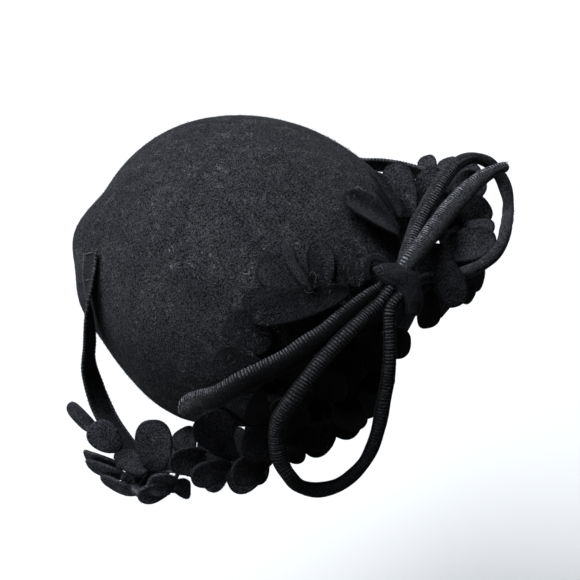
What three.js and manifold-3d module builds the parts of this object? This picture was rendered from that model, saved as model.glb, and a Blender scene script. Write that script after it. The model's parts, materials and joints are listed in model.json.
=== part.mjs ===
import * as THREE from "three";
import Module from "manifold-3d";

// Cocktail hat of black wool felt, in millimetres. +X is the wearer's left, -Y the front, +Z up.
// The origin is the inside of the crown's top, where the hat sits on the head.

// Named sizes
const FELT = 2; // crown wall
const PETAL = 1.8; // petal felt
const TAB = { thickness: 1.6, inside: 3, widest: 4, share: 0.2, end: 2.6 }; // base tab of a petal: half widths
const BAND = { width: 12, thickness: 1.6, steps: 64 };
const CROWN = { centre: [0, 0, -76], half: 82.5, front: 95, back: 103, top: 78, rings: 11, segments: 36 };
const CORD = { sides: 8, steps: { loopBig: 42, loopSide: 38, tailRight: 22, tailLeft: 20 } };
const KNOT = { sides: 12, steps: 16, room: 0.45 }; // room round each cord where it runs into the knot
const BOW_FACES = [-0.2510, -0.6611, 0.7071]; // the way that the bow's broad sides look

const FELT_COLOURS = { crown: 0x1c1c1f, band: 0x18181a, petals: 0x19191c, cord: 0x161618, knot: 0x1a1a1d };

// A table of rows with named columns becomes a list of objects
function table(columns, rows) {
  return rows.map((row) => Object.fromEntries(columns.map((name, i) => [name, row[i]])));
}

// Height of the crown's rim: angle below (-) the crown's centre by turn from the front to the wearer's left
const RIM = table(["turn", "rise"], [
  [-180, -12],
  [-135, -14],
  [-90, -16],
  [-60, -13],
  [-30, -8],
  [0, -5],
  [30, -8],
  [60, -12],
  [90, -14],
  [135, -14],
  [180, -12],
]);

// Where the blocked felt swells (+) or dips (-): direction from the crown's centre, size in mm, spread in degrees
const SWELLS = table(["x", "y", "z", "size", "spread"], [
  [-0.52, 0.72, 0.46, 8.4, 15],
  [-0.12, 0.77, 0.63, -2.2, 13],
  [-0.87, -0.05, 0.45, 1.6, 20],
  [-0.95, -0.15, -0.05, 1.6, 14],
  [-0.8, 0.45, 0.35, 5.8, 12],
  [-0.35, 0.8, 0.45, -4.4, 12],
  [-0.75, -0.5, -0.1, -1.5, 14],
  [-0.66, 0.62, 0.3, -1.8, 11],
]);

// Middle line of the band and the way that its outer face looks
const BAND_LINE = table(["x", "y", "z", "faceX", "faceY", "faceZ"], [
  [-57.3, 36.7, -20.9, -0.6, 0.15, 0.79],
  [-64.2, 31.8, -24.9, -0.64, 0.12, 0.76],
  [-71.4, 25.8, -29.4, -0.85, 0.25, 0.4],
  [-79.2, 21.2, -36.6, -0.63, 0.73, 0.28],
  [-86.6, 22.1, -52.8, -0.37, 0.89, 0.27],
  [-93.5, 22.6, -64.5, -0.36, 0.93, 0.11],
  [-97.9, 20.3, -75.9, -0.4, 0.6, -0.7],
  [-102, 15.2, -86.5, -0.25, 0.65, -0.7],
  [-105.3, 5.1, -95.1, -0.35, 0.5, -0.75],
  [-105.9, -10, -104.5, -0.6, 0.3, -0.75],
  [-100.2, -27.4, -110.2, -0.85, 0, -0.5],
  [-90.9, -44, -111.1, -0.87, -0.4, -0.25],
  [-77.7, -59.9, -107.2, -0.75, -0.65, -0.1],
  [-63.3, -73.1, -100.2, -0.55, -0.83, 0],
  [-47.9, -83.2, -92.9, -0.35, -0.93, 0],
  [-31, -92.3, -86.9, -0.15, -0.99, 0],
  [-12.9, -96, -79.4, 0.1, -0.99, 0],
  [6.5, -97, -71.9, 0.3, -0.95, 0],
  [26, -92.3, -68.4, 0.5, -0.87, 0],
  [46.1, -90, -71.5, 0.68, -0.73, 0],
  [66, -83.3, -73.8, 0.82, -0.57, 0],
  [84.2, -72, -76.6, 0.93, -0.37, 0],
  [97.2, -55.5, -77.6, 0.98, -0.2, 0],
  [101.3, -37.1, -78.9, 1, -0.05, 0],
  [98.7, -17.4, -79.8, 0.99, 0.1, 0],
  [94.1, -3.2, -79.4, 0.97, 0.2, 0.1],
  [87.7, 10.2, -79, 0.93, 0.3, 0.2],
  [85, 25, -77, 0.86, 0.45, 0.2],
  [78.5, 40, -73, 0.8, 0.55, 0.25],
  [67.7, 61.2, -64.9, 0.85, 0.5, 0.16],
]);

// Petals: the node that each belongs to (petals of one sprig share a base), middle of the base, tip, widest width, roll of the face from straight outwards in degrees,
// rise of the long edges, and arch along the length
const PETALS = table(["node", "name", "baseX", "baseY", "baseZ", "tipX", "tipY", "tipZ", "width", "roll", "cup", "arch"], [
  ["band_petal_01", "band_petal_01", -73.9, -57.9, -95.9, -76.9, -49.9, -71.1, 25, 37, 2, 0.5],
  ["band_petal_02", "band_petal_02", -75.7, -72.6, -98, -67.4, -68.4, -78.5, 17, -49, 1, 1],
  ["band_petal_03", "band_petal_03", -49.6, -95.3, -76.7, -51, -93.6, -52.3, 20, -14, 1.5, 0.5],
  ["band_petal_04", "band_petal_04", -30.9, -100.8, -74.6, -26.5, -100.5, -50.4, 20, -32, 1.5, 0.5],
  ["band_petal_05", "band_petal_05", 6.5, -99, -71, 11.8, -115.9, -63, 17, -110, 1.2, 0.5],
  ["band_petal_06", "band_petal_06", 59.9, -84.8, -65.4, 81.1, -107, -62.3, 20, -64, 3, 0.5],
  ["band_petal_07", "band_petal_07", 65.6, -79.3, -66.4, 87.5, -99.4, -62.9, 15, -90, 1, 0.6],
  ["band_petal_08", "band_petal_08", 76.7, -75.9, -66.3, 101.6, -76.8, -74.2, 20, -28, 1.5, 0.5],
  ["band_petal_09", "band_petal_09", 102.3, -26.9, -86.2, 114.8, -10.6, -87, 12, -98, 1.2, 0.5],
  ["band_petal_10", "band_petal_10", 98.6, -52.7, -70.2, 111.4, -37.9, -70.6, 14, -87, 1.2, 0.5],
  ["band_petal_11", "band_petal_11", 86.5, -64.8, -66.9, 111.3, -63.6, -70, 19, -38, 1, 0.5],
  ["band_petal_12", "band_petal_12", 65.7, -75.5, -58.5, 87.5, -69.6, -56.8, 17, -51, 1, 0.5],
  ["band_petal_13", "band_petal_13", -11, -99.9, -79.2, -17.8, -99.9, -103, 19, 13, 1.5, 0.5],
  ["band_petal_14", "band_petal_14", -19.3, -101, -74.2, -14.9, -97.8, -52.5, 20, -26, 1.5, 0.5],
  ["band_petal_15", "band_petal_15", -6.6, -105.4, -73.6, 0.6, -102.7, -51.6, 20, -38, 1.5, 0.5],
  ["band_petal_16", "band_petal_16", 99.8, -38.4, -89, 126.6, -37.2, -89.8, 18, -68, 1, 0.5],
  ["band_petal_17", "band_petal_17", 61.1, -80.5, -75.7, 50.6, -76.3, -75.5, 13, 33, 0.5, 0.5],
  ["band_petal_18", "band_petal_18", -15.4, -104, -81.2, -0.1, -106.8, -78.4, 16, -59, 1, 0.5],
  ["band_petal_19", "band_petal_19", 70.9, -70.9, -75, 88.5, -58.8, -82.9, 16, -55, 1, 0.5],
  ["band_sprig_01", "band_sprig_01a", -112.8, 8.1, -91.3, -113.2, 23.8, -76.7, 14, 36, 1, 0.5],
  ["band_sprig_01", "band_sprig_01b", -111.7, -5.9, -96.4, -113.5, 4.2, -79.4, 18, 71, 1.2, 0.5],
  ["band_sprig_02", "band_sprig_02a", -113.5, -7, -95.3, -110.7, -25.8, -101.8, 17, -121, 1.2, 0.5],
  ["band_sprig_02", "band_sprig_02b", -106.5, -27.3, -104.2, -91.2, -18.4, -83.4, 22, 48, 1.6, 0.5],
  ["band_sprig_03", "band_sprig_03a", -115.3, -9.4, -104.5, -124.1, 13.5, -101.3, 15, 23, 1, 1],
  ["band_sprig_03", "band_sprig_03b", -117.1, -14.1, -106.5, -126.6, 7.9, -100.8, 14, 22, 1, 1],
  ["band_sprig_03", "band_sprig_03c", -117.6, -23.6, -113.2, -127.1, -2.9, -104.8, 13, 25, 1, 1],
  ["band_sprig_03", "band_sprig_03d", -115.9, -18.2, -109.9, -117.8, -33.7, -107.6, 15, -133, 1, 1],
  ["band_sprig_03", "band_sprig_03e", -109.2, -22.6, -110.7, -121.4, -13.4, -106.4, 14, 50, 1, 0.5],
  ["band_sprig_04", "band_sprig_04a", -105.1, -36.5, -110.6, -122.5, -33.2, -101, 14, 58, 1, 1],
  ["band_sprig_04", "band_sprig_04b", -103.7, -36.9, -110.5, -114.8, -34.2, -97.3, 15, 66, 2.4, 1],
  ["band_sprig_04", "band_sprig_04c", -105.4, -34.1, -112.7, -98.7, -32.4, -127.1, 12, -110, 1, 1],
  ["band_sprig_05", "band_sprig_05a", -84.5, -47.3, -99.9, -102, -42.8, -88.6, 17, 57, 1.2, 0.5],
  ["band_sprig_05", "band_sprig_05b", -80.5, -61.5, -101.6, -100.2, -57, -91.9, 16, 52, 1.2, 0.5],
  ["band_sprig_05", "band_sprig_05c", -67.9, -57.4, -106.4, -84.9, -40.5, -96.6, 20, 61, 1, 0.5],
  ["band_sprig_05", "band_sprig_05d", -83.4, -58.4, -103.6, -96.9, -54.6, -104.8, 16, 51, 1, 0.5],
  ["band_sprig_06", "band_sprig_06a", -88.6, -33.5, -105.5, -80.9, -17.8, -104.4, 16, 104, 1.5, 0.5],
  ["band_sprig_06", "band_sprig_06b", -100.9, -22, -116.1, -108.9, -6, -122, 15, 52, 1, 0.5],
  ["band_sprig_06", "band_sprig_06c", -99.7, -22.2, -115.9, -88.3, -7.9, -116.2, 15, 130, 1, 0.5],
  ["band_sprig_07", "band_sprig_07a", -70.4, -79.8, -97, -87.5, -79.9, -84, 18, 54, 1.5, 0.5],
  ["band_sprig_07", "band_sprig_07b", -67.8, -72.7, -98.7, -80.1, -65.4, -114, 18, 15, 1.5, 0.5],
  ["band_sprig_07", "band_sprig_07c", -57.3, -83.3, -89.2, -75.6, -79.3, -73.1, 22, 44, 1.2, 0.5],
  ["band_sprig_07", "band_sprig_07d", -71.5, -72.7, -106.5, -88.4, -65.3, -105.5, 17, 54, 1, 0.5],
  ["band_sprig_08", "band_sprig_08a", -53.7, -85.5, -89.1, -65.6, -99.5, -83.7, 18, 115, 1.5, 0.5],
  ["band_sprig_08", "band_sprig_08b", -53.2, -93.2, -85.6, -55.4, -83, -76.8, 16, 26, 1, 0.5],
  ["band_sprig_09", "band_sprig_09a", -39.7, -91.7, -85.7, -53.1, -105.3, -83.9, 20, 73, 1.5, 0.5],
  ["band_sprig_09", "band_sprig_09b", -37.6, -101.8, -84.5, -56, -98.2, -87.7, 18, 39, 1, 0.5],
  ["band_sprig_09", "band_sprig_09c", -33.5, -97.4, -85.3, -40.6, -87.3, -78.4, 15, 30, 1, 0.5],
  ["band_sprig_10", "band_sprig_10a", -24.2, -97.7, -80.6, -35.6, -115.5, -80.4, 20, 68, 1.5, 0.5],
  ["band_sprig_10", "band_sprig_10b", -21.7, -104.4, -78.9, -40.4, -106.9, -87.8, 18, 34, 1, 0.5],
  ["band_sprig_11", "band_sprig_11a", 42.1, -95.8, -68.1, 32.8, -95, -89.3, 14, 47, 1.5, 0.5],
  ["band_sprig_11", "band_sprig_11b", 46.5, -93.6, -75.8, 46.3, -92.6, -93.1, 14, 19, 1.2, 0.5],
  ["band_sprig_12", "band_sprig_12a", 56.4, -93.5, -74.5, 61.7, -97.3, -94.2, 15, 16, 1, 0.5],
  ["band_sprig_12", "band_sprig_12b", 65.4, -89.5, -76.2, 73, -92.4, -96.6, 19, 13, 1, 0.5],
  ["crown_petal_01", "crown_petal_01", -5.6, -77.1, -26.4, -16.7, -57.5, -12.6, 21, 4, 0.6, 1.2],
  ["crown_petal_02", "crown_petal_02", -36.7, -77, -40, -44.1, -57.8, -26, 25, 1, 0.6, 1.2],
  ["crown_petal_03", "crown_petal_03", -47.6, -81.3, -55.2, -58.6, -59, -36.8, 27, -2, 0.6, 1.4],
  ["crown_petal_04", "crown_petal_04", -47.9, -83.6, -51.5, -62.9, -75.2, -75.4, 21, -13, 1, 0.5],
  ["crown_petal_05", "crown_petal_05", 56.7, -68.5, -45.9, 65, -43.9, -32.3, 13, -8, 4, 0.8],
  ["crown_petal_06", "crown_petal_06", 50.8, -74.2, -47, 38.1, -57.3, -19.1, 24, 16, 3.2, 1.5],
  ["crown_petal_07", "crown_petal_07", -23.9, -86, -44.5, -44.4, -82.2, -61, 20, 8, 0.8, 1.2],
  ["crown_petal_08", "crown_petal_08", 10.5, -87.2, -39.7, 27.3, -72.3, -28.1, 19, -6, 0.8, 1],
  ["crown_petal_09", "crown_petal_09", -2.9, -81, -32, 13.8, -66.6, -19.5, 16, -7, 0.8, 1],
  ["crown_sprig_01", "crown_sprig_01a", -7.8, -84, -23.9, -1.4, -65.3, -3.9, 14, -78, 1, 1],
  ["crown_sprig_01", "crown_sprig_01b", -12.7, -81.2, -26.8, -34.5, -63.1, -18.9, 16, 11, 0.6, 1.4],
  ["crown_sprig_01", "crown_sprig_01c", 6.8, -89.9, -34.8, -37.3, -68.2, -23.8, 18, 14, 1.2, 4],
  ["crown_sprig_02", "crown_sprig_02a", 63.6, -65.5, -54.5, 77.8, -43.8, -38.8, 19, -75, 1.6, 0.8],
  ["crown_sprig_02", "crown_sprig_02b", 63.2, -62.7, -65.9, 93, -56.3, -49.3, 18, -75, 1.2, 0.8],
  ["crown_sprig_03", "crown_sprig_03a", 0.3, -88.9, -42.3, -27.9, -79.4, -37, 18, 8, 0.5, 1.3],
  ["crown_sprig_03", "crown_sprig_03b", 0.9, -91.8, -47.1, -21, -94, -62.5, 20, 6, 0.8, 1.2],
  ["crown_sprig_04", "crown_sprig_04a", 54.7, -96.3, -55.3, 44.1, -111.3, -73.1, 18, 42, 1.5, 0.8],
  ["crown_sprig_04", "crown_sprig_04b", 59.2, -94.3, -52.5, 47.2, -94.6, -57, 18, 38, 1, 0.5],
]);

// Where the base tab of a petal is sewn down, or joins the other petals of its sprig
const PETAL_ROOTS = table(["name", "x", "y", "z"], [
  ["band_petal_02", -62.2, -59.7, -91.2],
  ["band_petal_03", -45.2, -80.3, -70.6],
  ["band_petal_04", -27.7, -90.4, -74.7],
  ["band_petal_12", 60.3, -64.6, -63.7],
  ["band_petal_13", -13.7, -97.7, -84],
  ["band_petal_14", -17.9, -93.5, -71.1],
  ["band_petal_15", -6, -99.3, -72.5],
  ["band_petal_18", -13.5, -101.7, -80.3],
  ["band_sprig_01a", -111.4, 8.2, -90.5],
  ["band_sprig_01b", -113.3, 12.4, -87.1],
  ["band_sprig_03a", -122, -16.3, -110],
  ["band_sprig_03b", -116.4, -17.8, -108.1],
  ["band_sprig_03e", -107.8, -19.7, -106.7],
  ["band_sprig_04a", -111.2, -32.5, -109.3],
  ["band_sprig_04c", -111.2, -32.5, -109.3],
  ["band_sprig_05a", -88.2, -49, -103.1],
  ["band_sprig_05b", -85.7, -47.1, -99.1],
  ["band_sprig_05c", -85.7, -47.1, -99.1],
  ["band_sprig_05d", -81.8, -61.3, -100.9],
  ["band_sprig_06a", -94, -15.2, -115.6],
  ["band_sprig_07a", -70, -71.7, -101.2],
  ["band_sprig_07c", -71.6, -79.9, -96.1],
  ["band_sprig_08b", -46, -87.1, -87.8],
  ["band_sprig_10a", -23.6, -96.7, -79.6],
  ["band_sprig_11b", 41.4, -95.9, -69.5],
  ["band_sprig_12a", 55.2, -89.6, -73.5],
  ["crown_petal_01", -3.9, -75.2, -25.5],
  ["crown_petal_02", -35.9, -75.3, -40.8],
  ["crown_petal_03", -47.2, -74.1, -53.3],
  ["crown_petal_04", -53.4, -89.4, -55.5],
  ["crown_petal_05", 53.6, -64.8, -47.5],
  ["crown_petal_06", 48.3, -70.6, -48.4],
  ["crown_petal_07", -33.6, -82.8, -51.9],
  ["crown_petal_08", 10.2, -84.9, -40.7],
  ["crown_sprig_01c", 6.3, -83.5, -37.7],
  ["crown_sprig_02a", 68.2, -61.8, -62.7],
  ["crown_sprig_03a", -9.9, -84.7, -40.3],
  ["crown_sprig_03b", -1.1, -88.6, -41.9],
  ["crown_sprig_04b", 45.6, -77.9, -59.8],
]);

// Middle lines of the bow's felt cords, with half width and half depth
const CORD_COLUMNS = ["x", "y", "z", "wide", "deep"];
const BOW_LOOP_BIG = table(CORD_COLUMNS, [
  [22.3, -102.3, -39.8, 2.5, 2.6],
  [18, -102, -40.7, 2.7, 2.8],
  [11.8, -102.4, -41.5, 2.9, 3],
  [2, -102.6, -41.2, 3.2, 3.3],
  [-7.8, -104, -39.9, 3.6, 3.6],
  [-23.1, -102.7, -42.2, 3.7, 3.8],
  [-37.6, -102.4, -45.4, 3.9, 3.9],
  [-48, -101.9, -49, 4.1, 4],
  [-56.5, -98, -56.8, 4.2, 4.1],
  [-62.2, -96.4, -65.3, 4.2, 4.1],
  [-66.5, -97.9, -73, 4.3, 4.1],
  [-69.3, -100.1, -79.8, 4.1, 4],
  [-70.2, -103, -86.4, 3.7, 3.9],
  [-68.3, -102.6, -98.3, 3.6, 3.8],
  [-63, -105.9, -105.8, 3.8, 3.8],
  [-55.5, -110.8, -107.8, 3.7, 3.7],
  [-48.2, -114.6, -106.1, 3.4, 3.6],
  [-39.5, -117.7, -101.8, 3.3, 3.6],
  [-31.7, -119.3, -95.4, 3.4, 3.6],
  [-24.4, -119.3, -88.1, 3.6, 3.6],
  [-16.1, -118.2, -78.9, 3.6, 3.6],
  [-8.9, -116.9, -71, 3.5, 3.5],
  [-3.1, -116.1, -63, 3.4, 3.4],
  [4.1, -112.7, -54.5, 3.2, 3.2],
  [11.8, -107.9, -46.2, 3.1, 3],
  [16.6, -107, -43.5, 2.8, 2.8],
  [22.1, -108, -41.8, 2.5, 2.5],
]);
const BOW_LOOP_SIDE = table(CORD_COLUMNS, [
  [29.6, -97.2, -41.7, 2.6, 2.6],
  [38.5, -91.6, -43.2, 3.1, 2.9],
  [47.8, -85.8, -44.4, 3.7, 3.1],
  [60, -79, -45, 4.1, 3.2],
  [72.9, -73.3, -46.2, 4.1, 3.2],
  [84.7, -68.7, -47, 4, 3.2],
  [95.8, -63.9, -50, 3.8, 3.2],
  [105.2, -60.2, -54.7, 3.5, 3.1],
  [113.6, -59.2, -60.7, 3.1, 3.1],
  [119.3, -61.6, -68.6, 3.2, 3.1],
  [120.3, -65.5, -77.4, 3.5, 3.1],
  [119.1, -68.3, -83.1, 3.5, 3.1],
  [114.8, -73.8, -85.7, 3.1, 3.1],
  [104.9, -85.5, -79.9, 3.1, 3.1],
  [89.9, -104.2, -64.3, 3.1, 3.1],
  [81.4, -110.8, -62.2, 3.1, 3.1],
  [73.8, -113, -62.2, 3.1, 3.1],
  [65.9, -113.6, -60.9, 3.1, 3.1],
  [61.6, -106.6, -66.3, 3.3, 3.2],
  [57.4, -100.8, -68.3, 3.1, 3.1],
  [52.4, -97.4, -66.2, 3, 3],
  [45.6, -96.1, -61.5, 2.9, 2.9],
  [38.6, -97.9, -55.3, 2.7, 2.7],
  [31.2, -102.1, -48.5, 2.6, 2.6],
]);
const BOW_TAIL_RIGHT = table(CORD_COLUMNS, [
  [25.1, -97.4, -40.7, 2.6, 2.6],
  [19.6, -95.1, -42.5, 3, 2.8],
  [12.4, -94.2, -42.3, 3.6, 3.2],
  [-1.3, -94.3, -40.7, 4.6, 3.5],
  [-15, -95.3, -39.1, 5, 3.6],
  [-26.2, -92.2, -39.8, 5.3, 3.6],
  [-37.6, -88.6, -41.2, 5.4, 3.6],
  [-47.8, -83.3, -42.3, 5.4, 3.6],
  [-59.2, -77.1, -43.7, 5.5, 3.6],
  [-69.6, -67.1, -50.4, 5.5, 3.6],
  [-74.9, -57.3, -55.1, 5.5, 3.6],
  [-79.6, -49, -60.3, 4.8, 3.6],
  [-82.4, -45.7, -67.2, 3.2, 3],
]);
const BOW_TAIL_LEFT = table(CORD_COLUMNS, [
  [29.4, -102.2, -37.5, 3.8, 2.8],
  [37.1, -100.5, -36.8, 4.3, 3],
  [49.7, -94.4, -41.6, 4.7, 3.2],
  [62.7, -88.8, -45.5, 5, 3.3],
  [75.4, -83.1, -49.7, 5.1, 3.3],
  [87.8, -78.5, -53.7, 5, 3.2],
  [99, -75, -57.3, 4.4, 3.1],
  [107.9, -72.8, -60.9, 3.7, 2.9],
  [116.3, -72.3, -64.3, 3.1, 2.7],
  [122.5, -72.7, -67.8, 2.8, 2.5],
]);

// The felt strip that is wrapped over the cords
const KNOT_LINE = table(CORD_COLUMNS, [
  [21.8, -91.5, -32.8, 2.6, 2.2],
  [23.3, -94.1, -34.6, 4.2, 3.6],
  [25.4, -97.3, -36.9, 5.6, 5.2],
  [27.7, -101, -39.5, 6.8, 6.2],
  [27.9, -104.9, -43.2, 6.8, 6.4],
  [25.5, -108.5, -47.3, 5.8, 5.6],
  [22.2, -111.3, -51.1, 4.8, 4.4],
  [19.9, -113, -53.6, 3.4, 3.2],
]);

const V = (a) => new THREE.Vector3(a[0], a[1], a[2]);
const CENTRE = V(CROWN.centre);
const rad = THREE.MathUtils.degToRad;

// Closed mesh from points and triangles, turned to face out
function closed(points, faces) {
  let six = 0;
  for (const [a, b, c] of faces)
    six += points[a].dot(points[b].clone().cross(points[c]));
  const g = new THREE.BufferGeometry();
  g.setAttribute("position", new THREE.Float32BufferAttribute(points.flatMap((p) => [p.x, p.y, p.z]), 3));
  g.setIndex(faces.flatMap(([a, b, c]) => (six > 0 ? [a, b, c] : [a, c, b])));
  g.computeVertexNormals();
  return g;
}

// Faces of a layer: a middle point, then rings of `count` points
function discFaces(first, rings, count, turned) {
  const out = [];
  for (let k = 0; k < count; k++) {
    const k2 = (k + 1) % count;
    out.push([first, first + 1 + k, first + 1 + k2]);
    for (let r = 0; r < rings - 1; r++) {
      const a = first + 1 + r * count, b = a + count;
      out.push([a + k, b + k, b + k2], [a + k, b + k2, a + k2]);
    }
  }
  return turned ? out.map((f) => [f[0], f[2], f[1]]) : out;
}

// Two such layers joined along their last rings
function shellFaces(rings, count) {
  const layer = 1 + rings * count, edge = 1 + (rings - 1) * count;
  const out = [...discFaces(0, rings, count, false), ...discFaces(layer, rings, count, true)];
  for (let k = 0; k < count; k++) {
    const k2 = (k + 1) % count;
    out.push([edge + k, layer + edge + k, layer + edge + k2], [edge + k, layer + edge + k2, edge + k2]);
  }
  return out;
}

// Distance from the crown's centre to its outer face along a direction
function crownReach(d) {
  const long = d.y < 0 ? CROWN.front : CROWN.back;
  let r = 1 / Math.hypot(d.x / CROWN.half, d.y / long, d.z / CROWN.top);
  for (const s of SWELLS) {
    const apart = THREE.MathUtils.radToDeg(d.angleTo(new THREE.Vector3(s.x, s.y, s.z)));
    r += s.size * Math.exp(-((apart / s.spread) ** 2));
  }
  return r;
}

function rimRise(turn) {
  const i = Math.max(1, RIM.findIndex((row) => row.turn >= turn));
  const a = RIM[i - 1], b = RIM[i];
  return a.rise + ((b.rise - a.rise) * (turn - a.turn)) / (b.turn - a.turn);
}

function crownGeometry() {
  const points = [];
  for (const inset of [0, FELT]) {
    const up = new THREE.Vector3(0, 0, 1);
    points.push(CENTRE.clone().addScaledVector(up, crownReach(up) - inset));
    for (let r = 1; r <= CROWN.rings; r++)
      for (let k = 0; k < CROWN.segments; k++) {
        const turn = -180 + (360 * k) / CROWN.segments;
        const rise = rad(90 + ((rimRise(turn) - 90) * r) / CROWN.rings);
        const d = new THREE.Vector3(
          Math.cos(rise) * Math.sin(rad(turn)),
          -Math.cos(rise) * Math.cos(rad(turn)),
          Math.sin(rise),
        );
        points.push(CENTRE.clone().addScaledVector(d, crownReach(d) - inset));
      }
  }
  return closed(points, shellFaces(CROWN.rings, CROWN.segments));
}

// Catmull-Rom value of one column of a table at t from 0 to 1
function along(rows, name, t) {
  const last = rows.length - 1, u = t * last, j = Math.min(Math.floor(u), last - 1), f = u - j;
  const at = (i) => rows[i][name];
  const p1 = at(j), p2 = at(j + 1);
  const p0 = j > 0 ? at(j - 1) : 2 * p1 - p2;
  const p3 = j + 2 <= last ? at(j + 2) : 2 * p2 - p1;
  return 0.5 * (2 * p1 + (p2 - p0) * f + (2 * p0 - 5 * p1 + 4 * p2 - p3) * f * f + (3 * p1 - p0 - 3 * p2 + p3) * f ** 3);
}

function bandGeometry() {
  const points = [], faces = [], n = BAND.steps;
  const at = (t, names) => V(names.map((name) => along(BAND_LINE, name, THREE.MathUtils.clamp(t, 0, 1))));
  for (let i = 0; i < n; i++) {
    const t = i / (n - 1), e = 0.5 / (n - 1);
    const middle = at(t, ["x", "y", "z"]);
    const way = at(t + e, ["x", "y", "z"]).sub(at(t - e, ["x", "y", "z"])).normalize();
    const face = at(t, ["faceX", "faceY", "faceZ"]);
    face.addScaledVector(way, -face.dot(way)).normalize();
    const across = face.clone().cross(way);
    for (const [a, b] of [[1, 1], [-1, 1], [-1, -1], [1, -1]])
      points.push(middle.clone().addScaledVector(across, (a * BAND.width) / 2).addScaledVector(face, (b * BAND.thickness) / 2));
  }
  for (let i = 0; i < n - 1; i++)
    for (let k = 0; k < 4; k++) {
      const a = 4 * i + k, b = 4 * i + ((k + 1) % 4);
      faces.push([a, b, b + 4], [a, b + 4, a + 4]);
    }
  const e = 4 * (n - 1);
  faces.push([0, 2, 1], [0, 3, 2], [e, e + 1, e + 2], [e, e + 2, e + 3]);
  return closed(points, faces);
}

// A felt petal: rounded tip, narrower base, long edges lifted by `cup`, middle arched by `arch`
function petalGeometry(p) {
  const base = new THREE.Vector3(p.baseX, p.baseY, p.baseZ), tip = new THREE.Vector3(p.tipX, p.tipY, p.tipZ);
  const length = base.distanceTo(tip), way = tip.clone().sub(base).normalize();
  const face = base.clone().add(tip).multiplyScalar(0.5).sub(CENTRE);
  face.addScaledVector(way, -face.dot(way)).normalize().applyAxisAngle(way, rad(p.roll));
  const across = face.clone().cross(way);
  const height = (x, y) => p.cup * ((2 * y) / p.width) ** 2 + p.arch * 4 * (x / length) * (1 - x / length);
  const spots = [[length / 2, 0]];
  const rings = [0.6, 1], count = 10;
  for (const r of rings)
    for (let k = 0; k < count; k++) {
      const a = (2 * Math.PI * k) / count, s = Math.sin(a);
      spots.push([
        length * (0.5 + 0.5 * r * Math.cos(a)),
        (p.width / 2) * r * Math.sign(s) * Math.abs(s) ** 0.8 * (0.86 + 0.14 * Math.cos(a)),
      ]);
    }
  const points = [];
  for (const side of [1, -1])
    for (const [x, y] of spots) {
      const slopeX = p.arch * (4 / length) * (1 - (2 * x) / length), slopeY = (p.cup * 8 * y) / p.width ** 2;
      const normal = face.clone().addScaledVector(way, -slopeX).addScaledVector(across, -slopeY).normalize();
      points.push(
        base.clone().addScaledVector(way, x).addScaledVector(across, y).addScaledVector(face, height(x, y))
          .addScaledVector(normal, (side * PETAL) / 2),
      );
    }
  return closed(points, shellFaces(rings.length, count));
}

const wasm = await Module();
wasm.setup();

function solidOf(geometry) {
  return new wasm.Manifold(new wasm.Mesh({
    numProp: 3,
    vertProperties: geometry.attributes.position.array,
    triVerts: new Uint32Array(geometry.index.array),
  }));
}

// The petal and the tab that carries its base, as one piece of felt
function petalWithTab(p, root) {
  const base = new THREE.Vector3(p.baseX, p.baseY, p.baseZ), tip = new THREE.Vector3(p.tipX, p.tipY, p.tipZ);
  const length = base.distanceTo(tip), way = tip.clone().sub(base).normalize();
  const face = base.clone().add(tip).multiplyScalar(0.5).sub(CENTRE);
  face.addScaledVector(way, -face.dot(way)).normalize().applyAxisAngle(way, rad(p.roll));
  const start = base.clone().addScaledVector(way, TAB.inside)
    .addScaledVector(face, p.arch * 4 * (TAB.inside / length) * (1 - TAB.inside / length));
  const end = new THREE.Vector3(root.x, root.y, root.z), run = end.clone().sub(start).normalize();
  const wide = face.clone().cross(way);
  wide.addScaledVector(run, -wide.dot(run)).normalize();
  const thick = run.clone().cross(wide);
  const points = [], faces = [[0, 2, 1], [0, 3, 2], [4, 5, 6], [4, 6, 7]];
  for (const [c, half] of [[start, Math.min(TAB.share * p.width, TAB.widest)], [end, TAB.end]])
    for (const [a, b] of [[1, 1], [-1, 1], [-1, -1], [1, -1]])
      points.push(c.clone().addScaledVector(wide, a * half).addScaledVector(thick, (b * TAB.thickness) / 2));
  for (let k = 0; k < 4; k++) {
    const k2 = (k + 1) % 4;
    faces.push([k, k2, k2 + 4], [k, k2 + 4, k + 4]);
  }
  return solidOf(petalGeometry(p)).add(solidOf(closed(points, faces)));
}

function geometryOf(solid) {
  const mesh = solid.getMesh();
  const g = new THREE.BufferGeometry();
  g.setAttribute("position", new THREE.BufferAttribute(new Float32Array(mesh.vertProperties), 3));
  g.setIndex([...mesh.triVerts]);
  g.computeVertexNormals();
  return g;
}

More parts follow.
